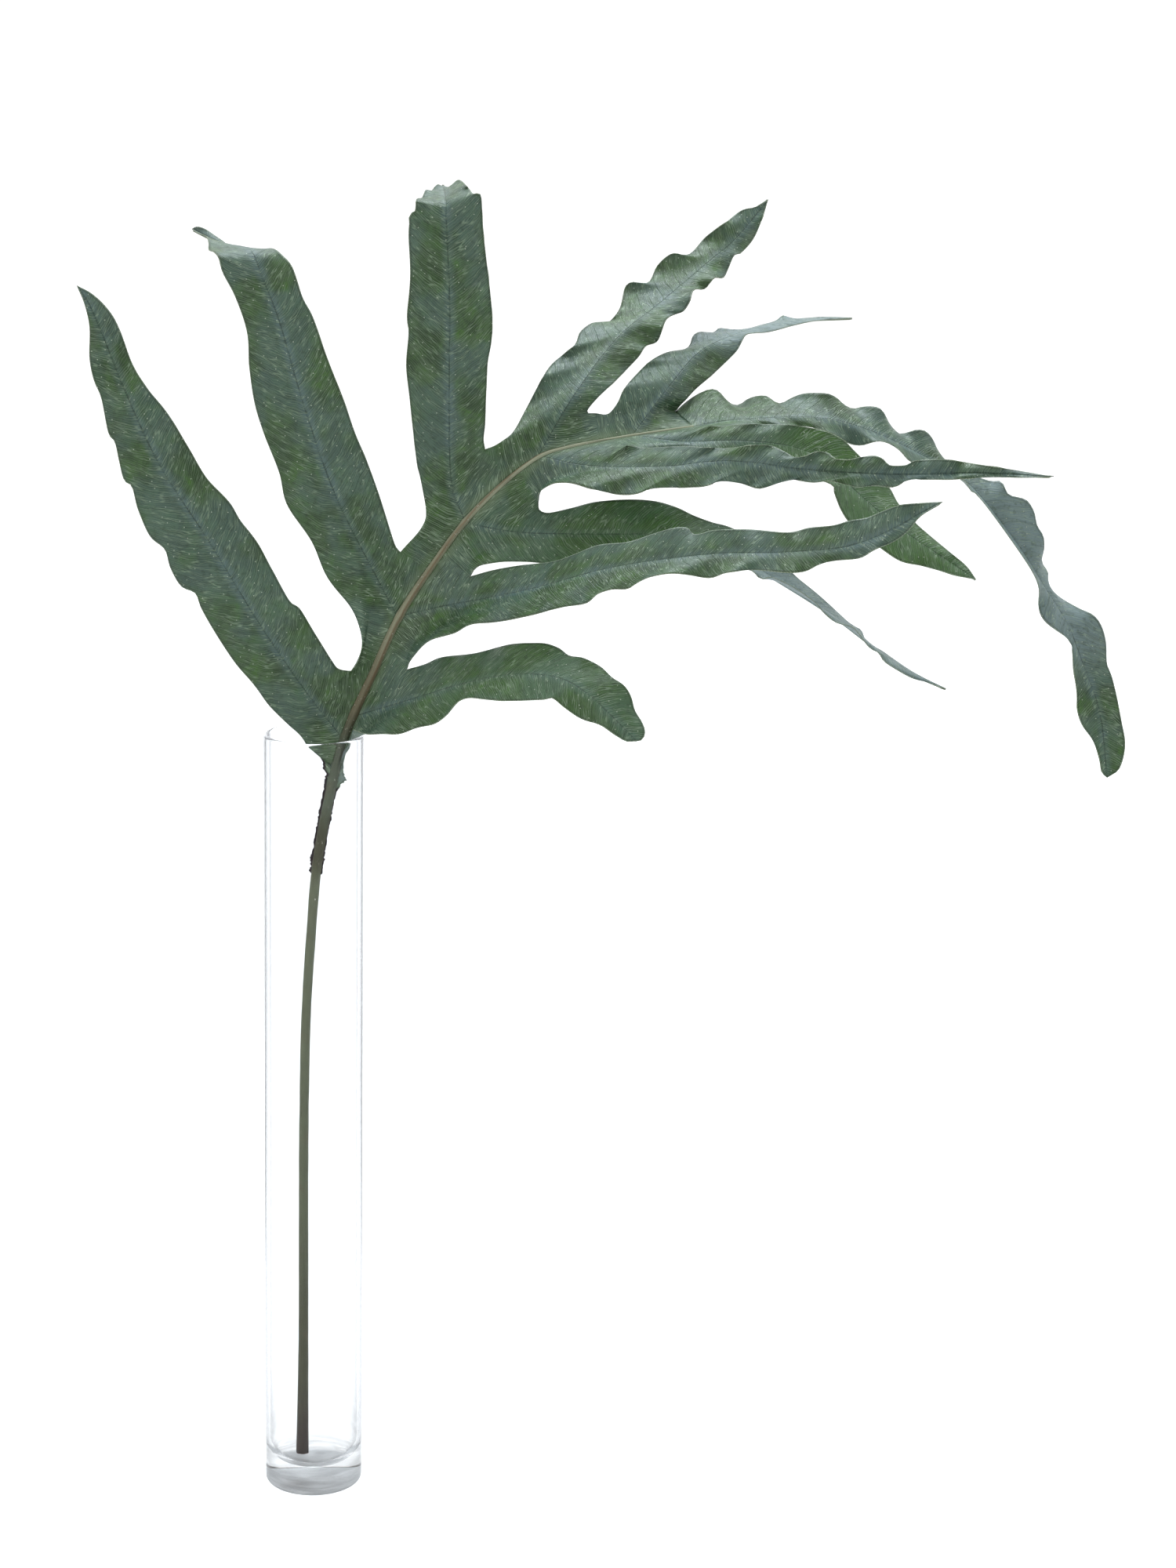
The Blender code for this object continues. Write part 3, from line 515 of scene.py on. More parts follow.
# Each lobe's bloom list lays pale blue on its end where it is above 0, bloom and painted sheen, and fresh
# green where it is below 0
LEFT_LOBES = [
    dict(
        rachis=(11, 15.5, 33),
        midrib=[(-3.6, 421, 2), (-27.6, 456.5, -4), (-49.8, 493.3, -8), (-74.8, 532.4, -8),
                (-90.9, 567.1, -4), (-106.3, 606, 3), (-114.4, 619.8, 7)],
        faces=[(0, (0, -1, 0.05)), (1, (0.1, -1, 0.1))],
        low=[(0.16, 19.5), (0.41, 22), (0.57, 20), (0.73, 15), (0.88, 8), (1, 0)],
        high=[(0.16, 20), (0.33, 20), (0.49, 18.5), (0.65, 15.5), (0.81, 10), (0.92, 7), (1, 0)],
        waves=7, wave_heights=[(0.2, 1.4), (1, 1.6)], phase=0,
    ),
    dict(
        rachis=(33, 42.2, 57),
        midrib=[(32.0, 477.7, 11), (10.3, 520.9, 6), (-5.4, 566, 2), (-16.7, 604.6, 1), (-25, 626, 2),
                (-29.5, 637, 8), (-34, 640, 22), (-40, 641, 38), (-48, 643, 56), (-58.5, 648, 76)],
        faces=[(0, (0, -1, 0.1)), (0.70, (0, -1, 0.1)), (0.725, (0.2, -0.3, 1)),
               (0.755, (0.43, -0.03, 0.9)), (1, (0.43, -0.03, 0.9))],
        low=[(0.16, 17), (0.25, 21), (0.38, 22.5), (0.57, 17.5), (0.73, 14), (0.85, 9), (1, 0)],
        high=[(0.1, 16.5), (0.16, 17.5), (0.3, 20), (0.49, 18.5), (0.65, 15.5), (0.8, 12), (0.9, 8), (1, 0)],
        waves=7, wave_heights=[(0.2, 1.2), (1, 1.6)], phase=0.25,
        pace=([(0.1, 0), (0.695, 0.905), (0.73, 0.93), (1, 1)],
              [(0.1, 0), (0.695, 0.775), (0.73, 0.80), (1, 1)]),
    ),
    dict(
        rachis=(57, 74.6, 95),
        midrib=[(67.5, 527.4, 20), (66, 567.8, 19), (65.8, 613.4, 18), (64.4, 643, 19), (63.8, 655, 19.5),
                (63.5, 661, 22), (63.3, 664.5, 29), (63, 667, 43), (62.5, 669, 58), (62, 670.5, 74),
                (61.5, 671, 90)],
        faces=[(0, (0, -1, 0.15)), (0.625, (0, -1, 0.1)), (0.665, (0, -0.2, 1)), (1, (0, -0.15, 1))],
        low=[(0.1, 13), (0.16, 13.5), (0.22, 15.5), (0.41, 20.5), (0.57, 19.5), (0.7, 17), (0.78, 16.5),
             (0.86, 12), (0.93, 7), (1, 0)],
        high=[(0.16, 16.5), (0.33, 18.5), (0.41, 20), (0.6, 18), (0.72, 17), (0.78, 16.5), (0.86, 12),
              (0.93, 7), (1, 0)],
        waves=8, wave_heights=[(0.2, 1.4), (0.66, 2), (0.78, 3), (1, 3)], phase=0.5,
        pace=([(0.1, 0), (0.64, 0.87), (0.68, 0.89), (1, 1)], [(0.1, 0), (0.64, 0.84), (0.68, 0.86), (1, 1)]),
    ),
    dict(
        rachis=(95, 110, 139),
        midrib=[(126.6, 570.8, 42), (147, 599, 72), (167.5, 616.8, 98), (189, 635.6, 124),
                (203.7, 648.7, 143), (218.2, 666.9, 160)],
        faces=[(0, (-0.1, -0.9, 0.35)), (0.15, (0.3, -1, -0.3)), (0.42, (0.4, -1, -0.4)),
               (0.52, (0, -0.75, 0.65)), (0.7, (0, -0.85, 0.5)), (0.82, (0.3, -1, -0.2)),
               (1, (0.3, -1, -0.2))],
        low=[(0.16, 16), (0.33, 16), (0.5, 15), (0.7, 14), (0.88, 10), (1, 0)],
        high=[(0.16, 12), (0.35, 14.5), (0.5, 13), (0.7, 10.5), (0.88, 7.5), (1, 0)],
        waves=7, wave_heights=[(0.2, 1.6), (0.5, 3.6), (1, 3)], phase=0.75,
    ),
    dict(
        rachis=(139, 156, 185),
        midrib=[(173, 576.3, 62), (185.5, 591.8, 84), (200.5, 600.8, 104), (227.6, 608.9, 136),
                (260.5, 611.4, 170)],
        faces=[(0, (-0.3, -0.7, 0.7)), (0.18, (0.5, -1, -0.9)), (0.36, (0.5, -1, -0.9)),
               (0.5, (-0.1, -0.5, 0.9)), (0.6, (0, -0.12, 1)), (1, (0, 0.1, 1))],
        low=[(0.16, 16), (0.25, 14.5), (0.33, 12), (0.45, 11), (0.6, 11), (0.8, 8), (0.92, 4), (1, 0)],
        high=[(0.16, 11), (0.3, 13.5), (0.41, 12.5), (0.5, 11), (0.65, 10), (0.8, 8), (0.92, 4), (1, 0)],
        waves=6, wave_heights=[(0.2, 1.6), (1, 2.4)], phase=0.5,
        bloom=[(0.35, 0), (0.5, 1), (1, 1)],
    ),
]
RIGHT_LOBES = [
    dict(
        rachis=(11, 20, 36),
        midrib=[(49.4, 418.7, -12), (75.4, 427.2, -28), (99.1, 432, -43), (120.8, 430.8, -56),
                (137.3, 421.6, -66), (160.8, 399.3, -78)],
        faces=[(0, (0, -0.85, 0.6)), (0.6, (0, -0.9, 0.45)), (1, (0.1, -1, 0.1))],
        low=[(0.16, 15), (0.25, 14.5), (0.35, 11), (0.45, 10.5), (0.57, 13.5), (0.8, 12.5), (0.9, 9), (1, 2)],
        high=[(0.16, 16), (0.33, 16.5), (0.6, 16), (0.85, 15), (0.93, 12), (1, 3)],
        waves=5, wave_heights=[(0.2, 1.2), (1, 1.6)], phase=0.25,
        bloom=[(0.12, -0.1), (0.35, -0.5), (1, -0.5)],
    ),
    dict(
        rachis=(36, 43, 62),
        midrib=[(65.7, 466.1, 4), (105.8, 474.8, -16), (146.6, 486.5, -34), (194.2, 494.1, -52),
                (234.2, 496, -64), (269.5, 501.5, -72), (307.9, 522.3, -78)],
        faces=[(0, (0, -0.8, 0.55)), (0.5, (0, -0.75, 0.65)), (1, (0, -0.9, 0.5))],
        low=[(0.16, 14), (0.33, 14.5), (0.45, 11), (0.6, 11), (0.73, 9.5), (0.85, 6.5), (0.95, 3), (1, 0)],
        high=[(0.16, 14), (0.25, 13), (0.33, 13), (0.47, 15), (0.65, 13), (0.88, 11), (0.95, 7), (1, 0)],
        waves=8, wave_heights=[(0.2, 1.4), (1, 2.4)], phase=0,
    ),
    dict(
        rachis=(62, 74, 101),
        midrib=[(101.2, 503.2, 18), (135.8, 503.1, 17), (168, 503, 14), (200.3, 497, 8),
                (223, 485, 2), (256.1, 465, -4), (291.2, 439.5, -8), (313.7, 429, -9)],
        faces=[(0, (0, -0.8, 0.6)), (0.35, (0, -0.9, 0.45)), (0.56, (0.15, -0.3, 0.95)),
               (0.72, (0.3, -0.1, 0.95)), (1, (0.3, -0.2, 0.95))],
        low=[(0.16, 16), (0.38, 19), (0.48, 16), (0.58, 9), (0.75, 8), (0.88, 6), (1, 0)],
        high=[(0.16, 14), (0.3, 17.5), (0.5, 16), (0.62, 13), (0.75, 11), (0.88, 8), (1, 0)],
        waves=7, wave_heights=[(0.2, 1.2), (1, 1.6)], phase=0.5,
        bloom=[(0.1, -0.3), (0.3, -0.7), (0.46, -0.5), (0.54, 0), (0.6, 1), (1, 1)],
    ),
    dict(
        rachis=(101, 111, 149),
        midrib=[(135.2, 536.8, 20), (170.8, 537.1, 4), (203.7, 540.4, -8), (245.2, 536.6, -20),
                (287.4, 535.4, -28), (325, 536.8, -33), (361.7, 535.7, -37)],
        faces=[(0, (0, -0.8, 0.65)), (0.2, (0, -1, 0.25)), (0.45, (0, -1, -0.05)), (0.75, (0, -1, 0.1)),
               (1, (0, -0.9, 0.4))],
        low=[(0.1, 12), (0.16, 13.5), (0.24, 16.5), (0.33, 16.5), (0.49, 13), (0.6, 10.5), (0.73, 9),
             (0.88, 6), (1, 0)],
        high=[(0.16, 16), (0.33, 12), (0.49, 11), (0.6, 13), (0.75, 10.5), (0.88, 6.5), (1, 0)],
        waves=8, wave_heights=[(0.2, 1.8), (0.4, 3.2), (1, 2)], phase=0.25,
    ),
    dict(
        rachis=(149, 157, 185),
        midrib=[(180, 549.5, 37), (206.1, 550.5, 28), (232, 548.3, 21), (252.7, 539.8, 16),
                (264.7, 527.3, 13), (288.5, 508.3, 10), (326.1, 484.1, 8)],
        faces=[(0, (0, -1, 0.1)), (0.38, (0, -1, 0.1)), (0.6, (0.5, -0.6, 0.8)), (1, (0.5, -0.6, 0.8))],
        low=[(0.16, 14), (0.33, 16), (0.57, 15), (0.7, 14), (0.81, 12.5), (0.9, 7.5), (1, 0)],
        high=[(0.16, 11), (0.25, 12), (0.41, 14.5), (0.57, 15), (0.65, 13.5), (0.75, 9), (0.88, 5), (1, 0)],
        waves=6, wave_heights=[(0.2, 1.2), (1, 1.4)], phase=0,
        bloom=[(0.25, 0), (0.4, -1), (1, -1)],
    ),
]
END_LOBE = dict(
    rachis=(185, 185, 185),
    midrib=END_RIB_POINTS,
    faces=[(0, (0, -0.5, 0.85)), (0.24, (0, -0.45, 0.9)), (0.34, (0.1, -0.5, 0.85)),
           (0.42, (0.1, -0.45, 0.9)), (0.61, (0.3, -0.5, 0.85)), (0.68, (0.8, -0.3, 0.7)),
           (0.75, (0.6, -0.6, 0.7)), (0.9, (0.3, -1, 0.2)), (1, (0.1, -1, 0.1))],
    low=[(0.1, 9), (0.16, 11), (0.24, 11), (0.35, 12), (0.5, 13), (0.66, 11), (0.73, 9), (0.8, 6), (0.88, 8),
         (0.96, 5), (1, 0)],
    high=[(0.1, 19), (0.16, 17), (0.25, 17), (0.36, 14), (0.5, 14.5), (0.62, 13), (0.7, 10), (0.76, 13),
          (0.84, 15), (0.92, 13), (0.97, 9), (1, 0)],
    folds=([(0, 0)], [(0.2, 0), (0.3, -28), (0.62, -28), (0.74, 0)]),
    waves=11, wave_heights=[(0, 2.6), (0.3, 3.2), (0.7, 2.8), (1, 1.6)], phase=0.25,
    bloom=[(0.40, 0), (0.50, 0.85), (0.76, 0.85), (0.86, 0.1), (1, -0.3)],
)
LEFT_STRIP = [(326, 0.6), (334, 1.6), (336, 0.8), (344, 0.9), (352, 0.9), (360, 1.2), (369, 1.1), (374, 1.6),
              (378, 2.7), (382, 4.6), (384, 6.6), (387, 8.5), (389.5, 10.4)]
RIGHT_STRIP = [(326, 0.6), (334, 0.9), (345, 0.6), (356, 0.7), (366, 0.5), (369.5, 0.8), (372.5, 2.0),
               (376, 4.0), (380, 2.0), (384, 0.9), (389, 0.8), (392, 1.9)]


# The outline of each lobe as it shows in the picture, in its pixels, from the notch to the tip:
# the side nearer the foot of the leaf, then the side nearer its end
OUTLINES = [
    ([(384, 939), (366, 923), (343, 900), (325, 875), (300, 846), (278, 813), (257, 777), (249, 757),
      (231, 748), (217, 724), (210, 701), (191, 684), (176, 650), (168, 621), (157, 610), (147, 566),
      (138, 552), (129, 508), (120, 486), (114, 457), (114, 417), (107, 384)],
     [(432, 853), (423, 842), (403, 810), (383, 777), (369, 766), (347, 726), (329, 693), (307, 664),
      (293, 641), (264, 610), (242, 573), (213, 526), (187, 494), (169, 464), (153, 421), (138, 395),
      (118, 375)]),
    ([(456, 846), (461, 828), (460, 807), (448, 776), (417, 736), (397, 690), (366, 644), (356, 603),
      (338, 557), (325, 516), (318, 470), (315, 424), (300, 379), (284, 348), (279, 329), (273, 321),
      (266, 318), (266, 309), (263, 301), (254, 297)],
     [(505, 697), (499, 680), (483, 629), (468, 588), (453, 552), (437, 506), (417, 455), (399, 404),
      (386, 379), (373, 341), (361, 326), (349, 317), (335, 317), (300, 316), (280, 304), (262, 292),
      (251, 289)]),
    ([(519, 695), (534, 678), (542, 664), (543, 648), (536, 610), (532, 593), (527, 552), (522, 506),
      (518, 465), (521, 424), (519, 404), (523, 353), (521, 302), (522, 285), (522, 273), (529, 269),
      (531, 254), (538, 252), (543, 242), (549, 244), (558, 235), (566, 239)],
     [(617, 560), (619, 540), (620, 510), (622, 465), (627, 435), (628, 402), (624, 360), (619, 318),
      (616, 290), (615, 265), (613, 248), (604, 247), (598, 240), (588, 230), (581, 231), (579, 240)]),
    ([(630, 569), (641, 562), (655, 550), (671, 521), (689, 487), (704, 464), (732, 441), (740, 423),
      (757, 411), (773, 413), (790, 394), (797, 366), (808, 360), (827, 360), (838, 339), (856, 324),
      (879, 324), (900, 302), (925, 284), (946, 268), (964, 264)],
     [(749, 525), (762, 508), (787, 484), (814, 456), (824, 441), (839, 435), (851, 406), (870, 398),
      (879, 386), (885, 369), (900, 368), (911, 354), (923, 354), (929, 343), (937, 325), (946, 322),
      (961, 305), (972, 280)]),
    ([(775, 528), (787, 515), (796, 496), (811, 478), (830, 460), (851, 449), (870, 446), (879, 441),
      (884, 428), (893, 423), (909, 424), (918, 418), (930, 422), (949, 420), (971, 414), (989, 409),
      (999, 402), (1012, 406), (1050, 404)],
     [(868, 517), (875, 510), (888, 496), (909, 478), (931, 457), (941, 446), (947, 433), (952, 426),
      (964, 424), (980, 423), (1007, 416), (1038, 409)]),
    ([(469, 936), (489, 936), (509, 936), (533, 928), (554, 923), (570, 911), (582, 896), (597, 890),
      (620, 892), (649, 894), (692, 892), (704, 890), (720, 903), (741, 917), (766, 925), (785, 938),
      (799, 946)],
     [(542, 847), (564, 838), (606, 833), (649, 822), (680, 820), (698, 821), (714, 827), (726, 836),
      (744, 839), (766, 850), (781, 864), (796, 874), (805, 888), (810, 906), (818, 919), (823, 932),
      (820, 943)]),
    ([(521, 846), (527, 837), (538, 824), (551, 815), (579, 807), (600, 796), (634, 793), (674, 785),
      (714, 775), (747, 769), (760, 758), (778, 752), (799, 751), (812, 743), (830, 735), (860, 731),
      (903, 737), (926, 730), (964, 727), (1000, 730), (1026, 729), (1044, 720), (1068, 715), (1096, 712),
      (1115, 701), (1139, 692), (1158, 678), (1172, 659), (1191, 647)],
     [(629, 727), (663, 721), (705, 716), (732, 707), (763, 695), (801, 691), (835, 680), (860, 673),
      (877, 673), (884, 681), (896, 680), (911, 676), (956, 675), (1004, 679), (1032, 673), (1063, 670),
      (1083, 664), (1106, 660), (1125, 652), (1148, 644), (1181, 641)]),
    ([(606, 725), (620, 719), (663, 716), (740, 722), (840, 720), (920, 720), (958, 727), (966, 735),
      (975, 738), (983, 735), (1000, 742), (1020, 753), (1041, 769), (1051, 781), (1066, 793), (1087, 799),
      (1095, 807), (1103, 818), (1111, 827), (1121, 832), (1128, 843), (1146, 855), (1166, 866), (1181, 870)],
     [(688, 650), (697, 654), (711, 652), (732, 647), (760, 640), (801, 637), (835, 639), (863, 647),
      (884, 657), (908, 666), (935, 674), (975, 698), (1000, 723), (1010, 730), (1020, 739), (1040, 755),
      (1057, 770), (1070, 782), (1082, 793), (1091, 799), (1099, 804), (1104, 816), (1112, 823), (1124, 829),
      (1141, 841), (1162, 855), (1182, 866)]),
    ([(685, 634), (690, 625), (703, 617), (714, 615), (730, 616), (753, 623), (784, 630), (808, 630),
      (835, 623), (870, 622), (897, 620), (920, 614), (946, 617), (970, 623), (994, 616), (1014, 612),
      (1035, 615), (1057, 613), (1077, 618), (1096, 622), (1115, 619), (1139, 621), (1162, 612), (1219, 611),
      (1266, 609)],
     [(801, 568), (822, 571), (846, 570), (877, 569), (904, 571), (932, 571), (959, 568), (983, 568),
      (1001, 576), (1014, 583), (1028, 582), (1042, 576), (1056, 577), (1066, 585), (1082, 587), (1098, 583),
      (1115, 581), (1126, 585), (1136, 594), (1155, 594), (1170, 587), (1205, 586), (1247, 592),
      (1304, 601)]),
    ([(830, 575), (900, 592), (1000, 602), (1058, 616), (1065, 630), (1073, 650), (1085, 668), (1104, 685),
      (1122, 698), (1148, 715), (1177, 722), (1200, 728), (1219, 734)],
     [(918, 544), (946, 541), (973, 541), (1008, 542), (1042, 547), (1059, 552), (1076, 561), (1090, 575),
      (1107, 592), (1134, 621), (1146, 642), (1167, 666), (1191, 687), (1214, 706), (1233, 722)]),
    ([(925, 545), (960, 543), (1000, 542), (1040, 546), (1057, 551), (1070, 557), (1080, 564), (1090, 568),
      (1101, 568), (1112, 564), (1122, 562), (1134, 565), (1148, 574), (1160, 587), (1180, 597), (1210, 606),
      (1232, 613), (1238, 625), (1250, 634), (1290, 688), (1318, 730), (1326, 750), (1325, 775), (1331, 790),
      (1345, 802), (1362, 814), (1368, 828), (1369, 850), (1373, 880), (1374, 905), (1380, 925), (1394, 945),
      (1402, 967), (1405, 985)],
     [(872, 513), (882, 505), (893, 499), (907, 496), (917, 499), (925, 508), (933, 515), (943, 516),
      (953, 509), (965, 505), (978, 505), (988, 512), (997, 514), (1010, 507), (1024, 502), (1040, 501),
      (1056, 502), (1067, 507), (1077, 516), (1088, 521), (1098, 519), (1110, 518), (1121, 520), (1128, 527),
      (1136, 542), (1147, 553), (1158, 551), (1170, 548), (1181, 550), (1190, 560), (1196, 573), (1207, 587),
      (1232, 602), (1262, 613), (1277, 614), (1286, 630), (1298, 634), (1310, 638), (1319, 652), (1323, 670),
      (1331, 684), (1332, 700), (1329, 716), (1337, 730), (1337, 744), (1350, 760), (1375, 775), (1394, 784),
      (1405, 798), (1411, 820), (1412, 846), (1418, 862), (1425, 890), (1431, 922), (1435, 943), (1434, 962),
      (1427, 982)]),
]


def side_of(row):
    """The number of a lobe's side: 0 nearer the foot of the leaf, 1 nearer its end."""
    return 0 if row < 0 else 1


def softened(pairs, at):
    """Reads a list of pairs with its corners rounded off."""
    return (between(pairs, at - SOFTENING) + between(pairs, at) * 2 + between(pairs, at + SOFTENING)) / 4


def flattened(point):
    """Where a point shows on the plane Y = 0 from the camera."""
    return EYE + (point - EYE) * (-EYE.y / (point.y - EYE.y))


def picked(across, down):
    """The point of the plane Y = 0 that shows at that pixel of the picture."""
    aside, above = across - PICTURE_MIDDLE[0], PICTURE_MIDDLE[1] - down
    ray = AHEAD + VIEW_ASIDE * (aside / FOCAL_PIXELS) + VIEW_ABOVE * (above / FOCAL_PIXELS)
    return EYE + ray * (-EYE.y / ray.y)


class Lobe:
    """One lobe of the blade, as columns of points.

    column runs from 0 at the rachis to 1 at the tip. row runs from -1 at the edge nearer the
    foot of the leaf to 1 at the edge nearer its end."""

    def __init__(self, facts, hand, number):
        self.facts = facts
        self.hand = hand
        self.number = number
        self.is_end = facts is END_LOBE
        self.shares = [min(rachis.line.share_at_x(x), 1.0) for x in facts["rachis"]]
        root = rachis.line.at(1.0) if self.is_end else rachis.edge(self.shares[1], hand)
        self.midrib = Line([root] + [seen(*point) for point in facts["midrib"]])
        hands = (RIGHT, LEFT) if self.is_end else (hand, hand)
        self.roots = [rachis.edge(self.shares[0], hands[0]), rachis.edge(self.shares[2], hands[1])]
        self.notches = [None, None]
        self.outlines = [None, None]
        shares = [step / PACE_STEPS for step in range(PACE_STEPS + 1)]
        shown = [flattened(self.midrib.at(share)) for share in shares]
        gone = [0.0]
        for a, b in zip(shown, shown[1:]):
            gone.append(gone[-1] + (b - a).length)
        self.pace = [(share, far / gone[-1]) for share, far in zip(shares, gone)]

    def face(self, column):
        """The way the upper face looks at that column."""
        tangent = self.midrib.tangent(column, RIB_REACH)
        pairs = [(place, Vector(way)) for place, way in self.facts["faces"]]
        way = softened(pairs, column)
        return (way - tangent * way.dot(tangent)).normalized()

    def side(self, column, row):
        """The unit vector across that half of the lobe, towards row 1, with its fold at the midrib."""
        face = self.face(column)
        flat = face.cross(self.midrib.tangent(column, RIB_REACH)) * self.hand
        folds = self.facts.get("folds", FLAT)[side_of(row)]
        fold = math.radians(softened(folds, column))
        return flat * math.cos(fold) + face * math.sin(fold) * (1 if row < 0 else -1)

    def turns(self, column, row):
        """How many waves of that edge lie between the notch and this column."""
        half_way = 0.5 if row < 0 else 0.0
        return self.facts["waves"] * (column - CLEAR) / (1 - CLEAR) + self.facts["phase"] + half_way

    def depth(self, column, row):
        """How far back the free edge lies: the midrib's depth and the lean of that half."""
        width = softened(self.facts["low" if row < 0 else "high"], column)
        return (self.midrib.at(column) + self.side(column, row) * (width * row)).y

    def draw_outlines(self):
        """Curves of the two edges as they show, from the notches to the tip."""
        for side, points in enumerate(OUTLINES[self.number]):
            ends = flattened(self.notches[side]), flattened(self.midrib.at(1))
            self.outlines[side] = Line([ends[0], *(picked(*point) for point in points), ends[1]])

    def margin(self, column, row):
        """The edge on the side of that row: along the neighbour, round the notch, then free."""
        side = side_of(row)
        if column <= JOINED:
            return self.roots[side].lerp(self.notches[side], column / JOINED)
        if "pace" in self.facts:
            share = between(self.facts["pace"][side], column)
        else:
            begun = between(self.pace, JOINED)
            share = (between(self.pace, column) - begun) / (1 - begun)
        shown = self.outlines[side].at(share)
        leaving = smooth((column - JOINED) / (CLEAR - JOINED) / LEAVING)
        depth = self.notches[side].y * (1 - leaving) + self.depth(column, row) * leaving
        return seen(shown.x, shown.z, depth)

    def base(self, row):
        """The side lobe's first row of points, along the rachis."""
        start, node, end = self.shares
        share = node + (end - node) * row if row > 0 else node + (node - start) * row
        return rachis.edge(share, self.hand)

    def wave(self, column, row):
        """How far the waved edge stands forward, along the line of sight."""
        if self.is_end and column == 0:
            return 0.0
        start = END_WAVE_START if self.is_end else JOINED
        grown = smooth((column - start) / WAVE_GROWTH)
        grown *= 1 - smooth((column - 1 + WAVE_END) / WAVE_END) * WAVE_FALL
        height = between(self.facts["wave_heights"], column) * abs(row) ** WAVE_SPREAD
        turns = self.turns(column, row)
        drift = math.sin(math.tau * (turns * DRIFT_TURNS + self.number * DRIFT_STEP))
        wide = math.sin(math.tau * turns + WAVE_DRIFT * drift)
        small = math.sin(math.tau * (turns * SMALL_TURNS + self.number * SMALL_STEP)) * abs(row)
        return height * grown * (wide + SMALL_WAVE * small)

    def across(self, column):
        """The points of one column, their map, and how far each lies from the edge and the rachis."""
        rib, tangent = self.midrib.at(column), self.midrib.tangent(column, RIB_REACH)
        shifted = JOINED + column * (1 - JOINED) if self.is_end else column
        to_eye = (EYE - rib).normalized()
        edges, evened = {}, {}
        for row in (-1, 1):
            edges[row] = self.margin(shifted, row)
            near = [self.margin(min(shifted + step, 1.0), row) for step in EVENING]
            ruffled = smooth((shifted - CLEAR) / EVENING_EASE) * smooth((1 - shifted) / EVENING_EASE)
            evened[row] = edges[row].lerp(sum(near, Vector((0, 0, 0))) / len(near), ruffled)
        if column < JOINED:
            drawn_in = smooth(column / JOINED)
        else:
            drawn_in = 1 - smooth((column - JOINED) / (DRAWN_IN_TO - JOINED))
        risen = smooth((column - ARCH_EASE) / ARCH_EASE) * smooth((1 - column) / ARCH_EASE)
        points, flat, depths, nears = [], [], [], []
        for row in rows():
            side, out = (-1 if row < 0 else 1), abs(row)
            root, notch = self.roots[side_of(row)], self.notches[side_of(row)]
            place = rib.lerp(evened[side], out) + (edges[side] - evened[side]) * out**2
            width = (edges[side] - rib).length
            if self.is_end:
                strip = max(out - RIB_HALF, 0) / (1 - RIB_HALF)
                first = root.lerp(notch, strip)
                if out < RIB_HALF:
                    first = self.midrib.at(0).lerp(root, out / RIB_HALF)
                place = first.lerp(place, smooth(column / (CLEAR - JOINED)))
            elif column < JOINED:
                chord = self.midrib.at(0).lerp(self.margin(0, side), out)
                place += (self.base(row) - chord) * (1 - column / JOINED)
            if row < 0 and not self.is_end:
                bend = root.lerp(notch, BEND_ALONG) + (rib - root) * BEND_ACROSS
                place += (bend - (rib + edges[side]) / 2) * (2 * out * (1 - out) * drawn_in)
            arch = ARCH * math.sin(math.pi * min(out * ARCH_TURN, 1)) * risen
            points.append(place + to_eye * (self.wave(column, row) + arch))
            gone = place - rib
            ahead = gone.dot(tangent)
            aside = math.sqrt(max(gone.length_squared - ahead**2, 0.0)) * side
            flat.append(((column * self.midrib.length + ahead) * MM + self.number * MAP_STEP, aside * MM))
            start = self.midrib.at(0) if self.is_end else self.base(row)
            nears.append((place - start).length * MM)
            to_side = (1 - out) * width
            joined = max(JOINED - shifted, 0) / JOINED
            to_notch = joined * (notch - root).length
            to_tip = (1 - column) * self.midrib.length
            depths.append(min(math.hypot(to_side, to_notch), to_tip) * MM)
        return points, flat, depths, nears


def rows():
    """Row values across a lobe, with a narrow strip each side of the midrib."""
    half = RIB_ROWS + [RIB_HALF + (1 - RIB_HALF) * step / ROWS for step in range(ROWS + 1)]
    return [-row for row in reversed(half)] + [0.0] + half


def steps(start, end, count):
    """Evenly spaced values from start up to, but not including, end."""
    return [start + (end - start) * step / count for step in range(count)]


def columns(lobe):
    """Column values along a lobe, which match its neighbours where they are joined."""
    free_columns = round(lobe.midrib.length * (1 - CLEAR) / COLUMN_LENGTH)
    if lobe.is_end:
        clear = (CLEAR - JOINED) / (1 - JOINED)
        return steps(0, clear, NOTCH_COLUMNS) + steps(clear, 1, free_columns) + [1.0]
    joined = steps(0, JOINED, JOINED_COLUMNS)
    return joined + steps(JOINED, CLEAR, NOTCH_COLUMNS) + steps(CLEAR, 1, free_columns) + [1.0]


def shape_sheet(name, points, flat, depths, nears, torn, bloom_and_sheen, ribbed, turned_over):
    """A sheet of the leaf from its columns of points, marked for its edge, root, tears and ribs."""
    sheet, places = new_grid(name, len(points), len(points[0]))
    thickness = sheet.vertex_groups.new(name="thickness")
    middle, thin = len(points[0]) // 2, BLADE_THICKNESS / RIB_THICKNESS
    for vertex, (column, row) in zip(sheet.data.vertices, places):
        vertex.co = points[column][row] * MM
        swell = RIBBED_SWELL.get(abs(row - middle), 0.0) if ribbed else 0.0
        thickness.add([vertex.index], thin + (1 - thin) * swell, "REPLACE")
    for mark, values in (
        ("from_edge", [depths[column][row] for column, row in places]),
        ("from_rachis", [nears[column][row] for column, row in places]),
        ("torn", [torn[column] for column, row in places]),
        ("bloom_and_sheen", [bloom_and_sheen[column] for column, row in places]),
    ):
        sheet.data.attributes.new(mark, "FLOAT", "POINT")
        sheet.data.attributes[mark].data.foreach_set("value", values)
    lay_out(sheet, places, flat)
    if turned_over:
        on_all_of_it(bpy.ops.mesh.flip_normals)
    return sheet


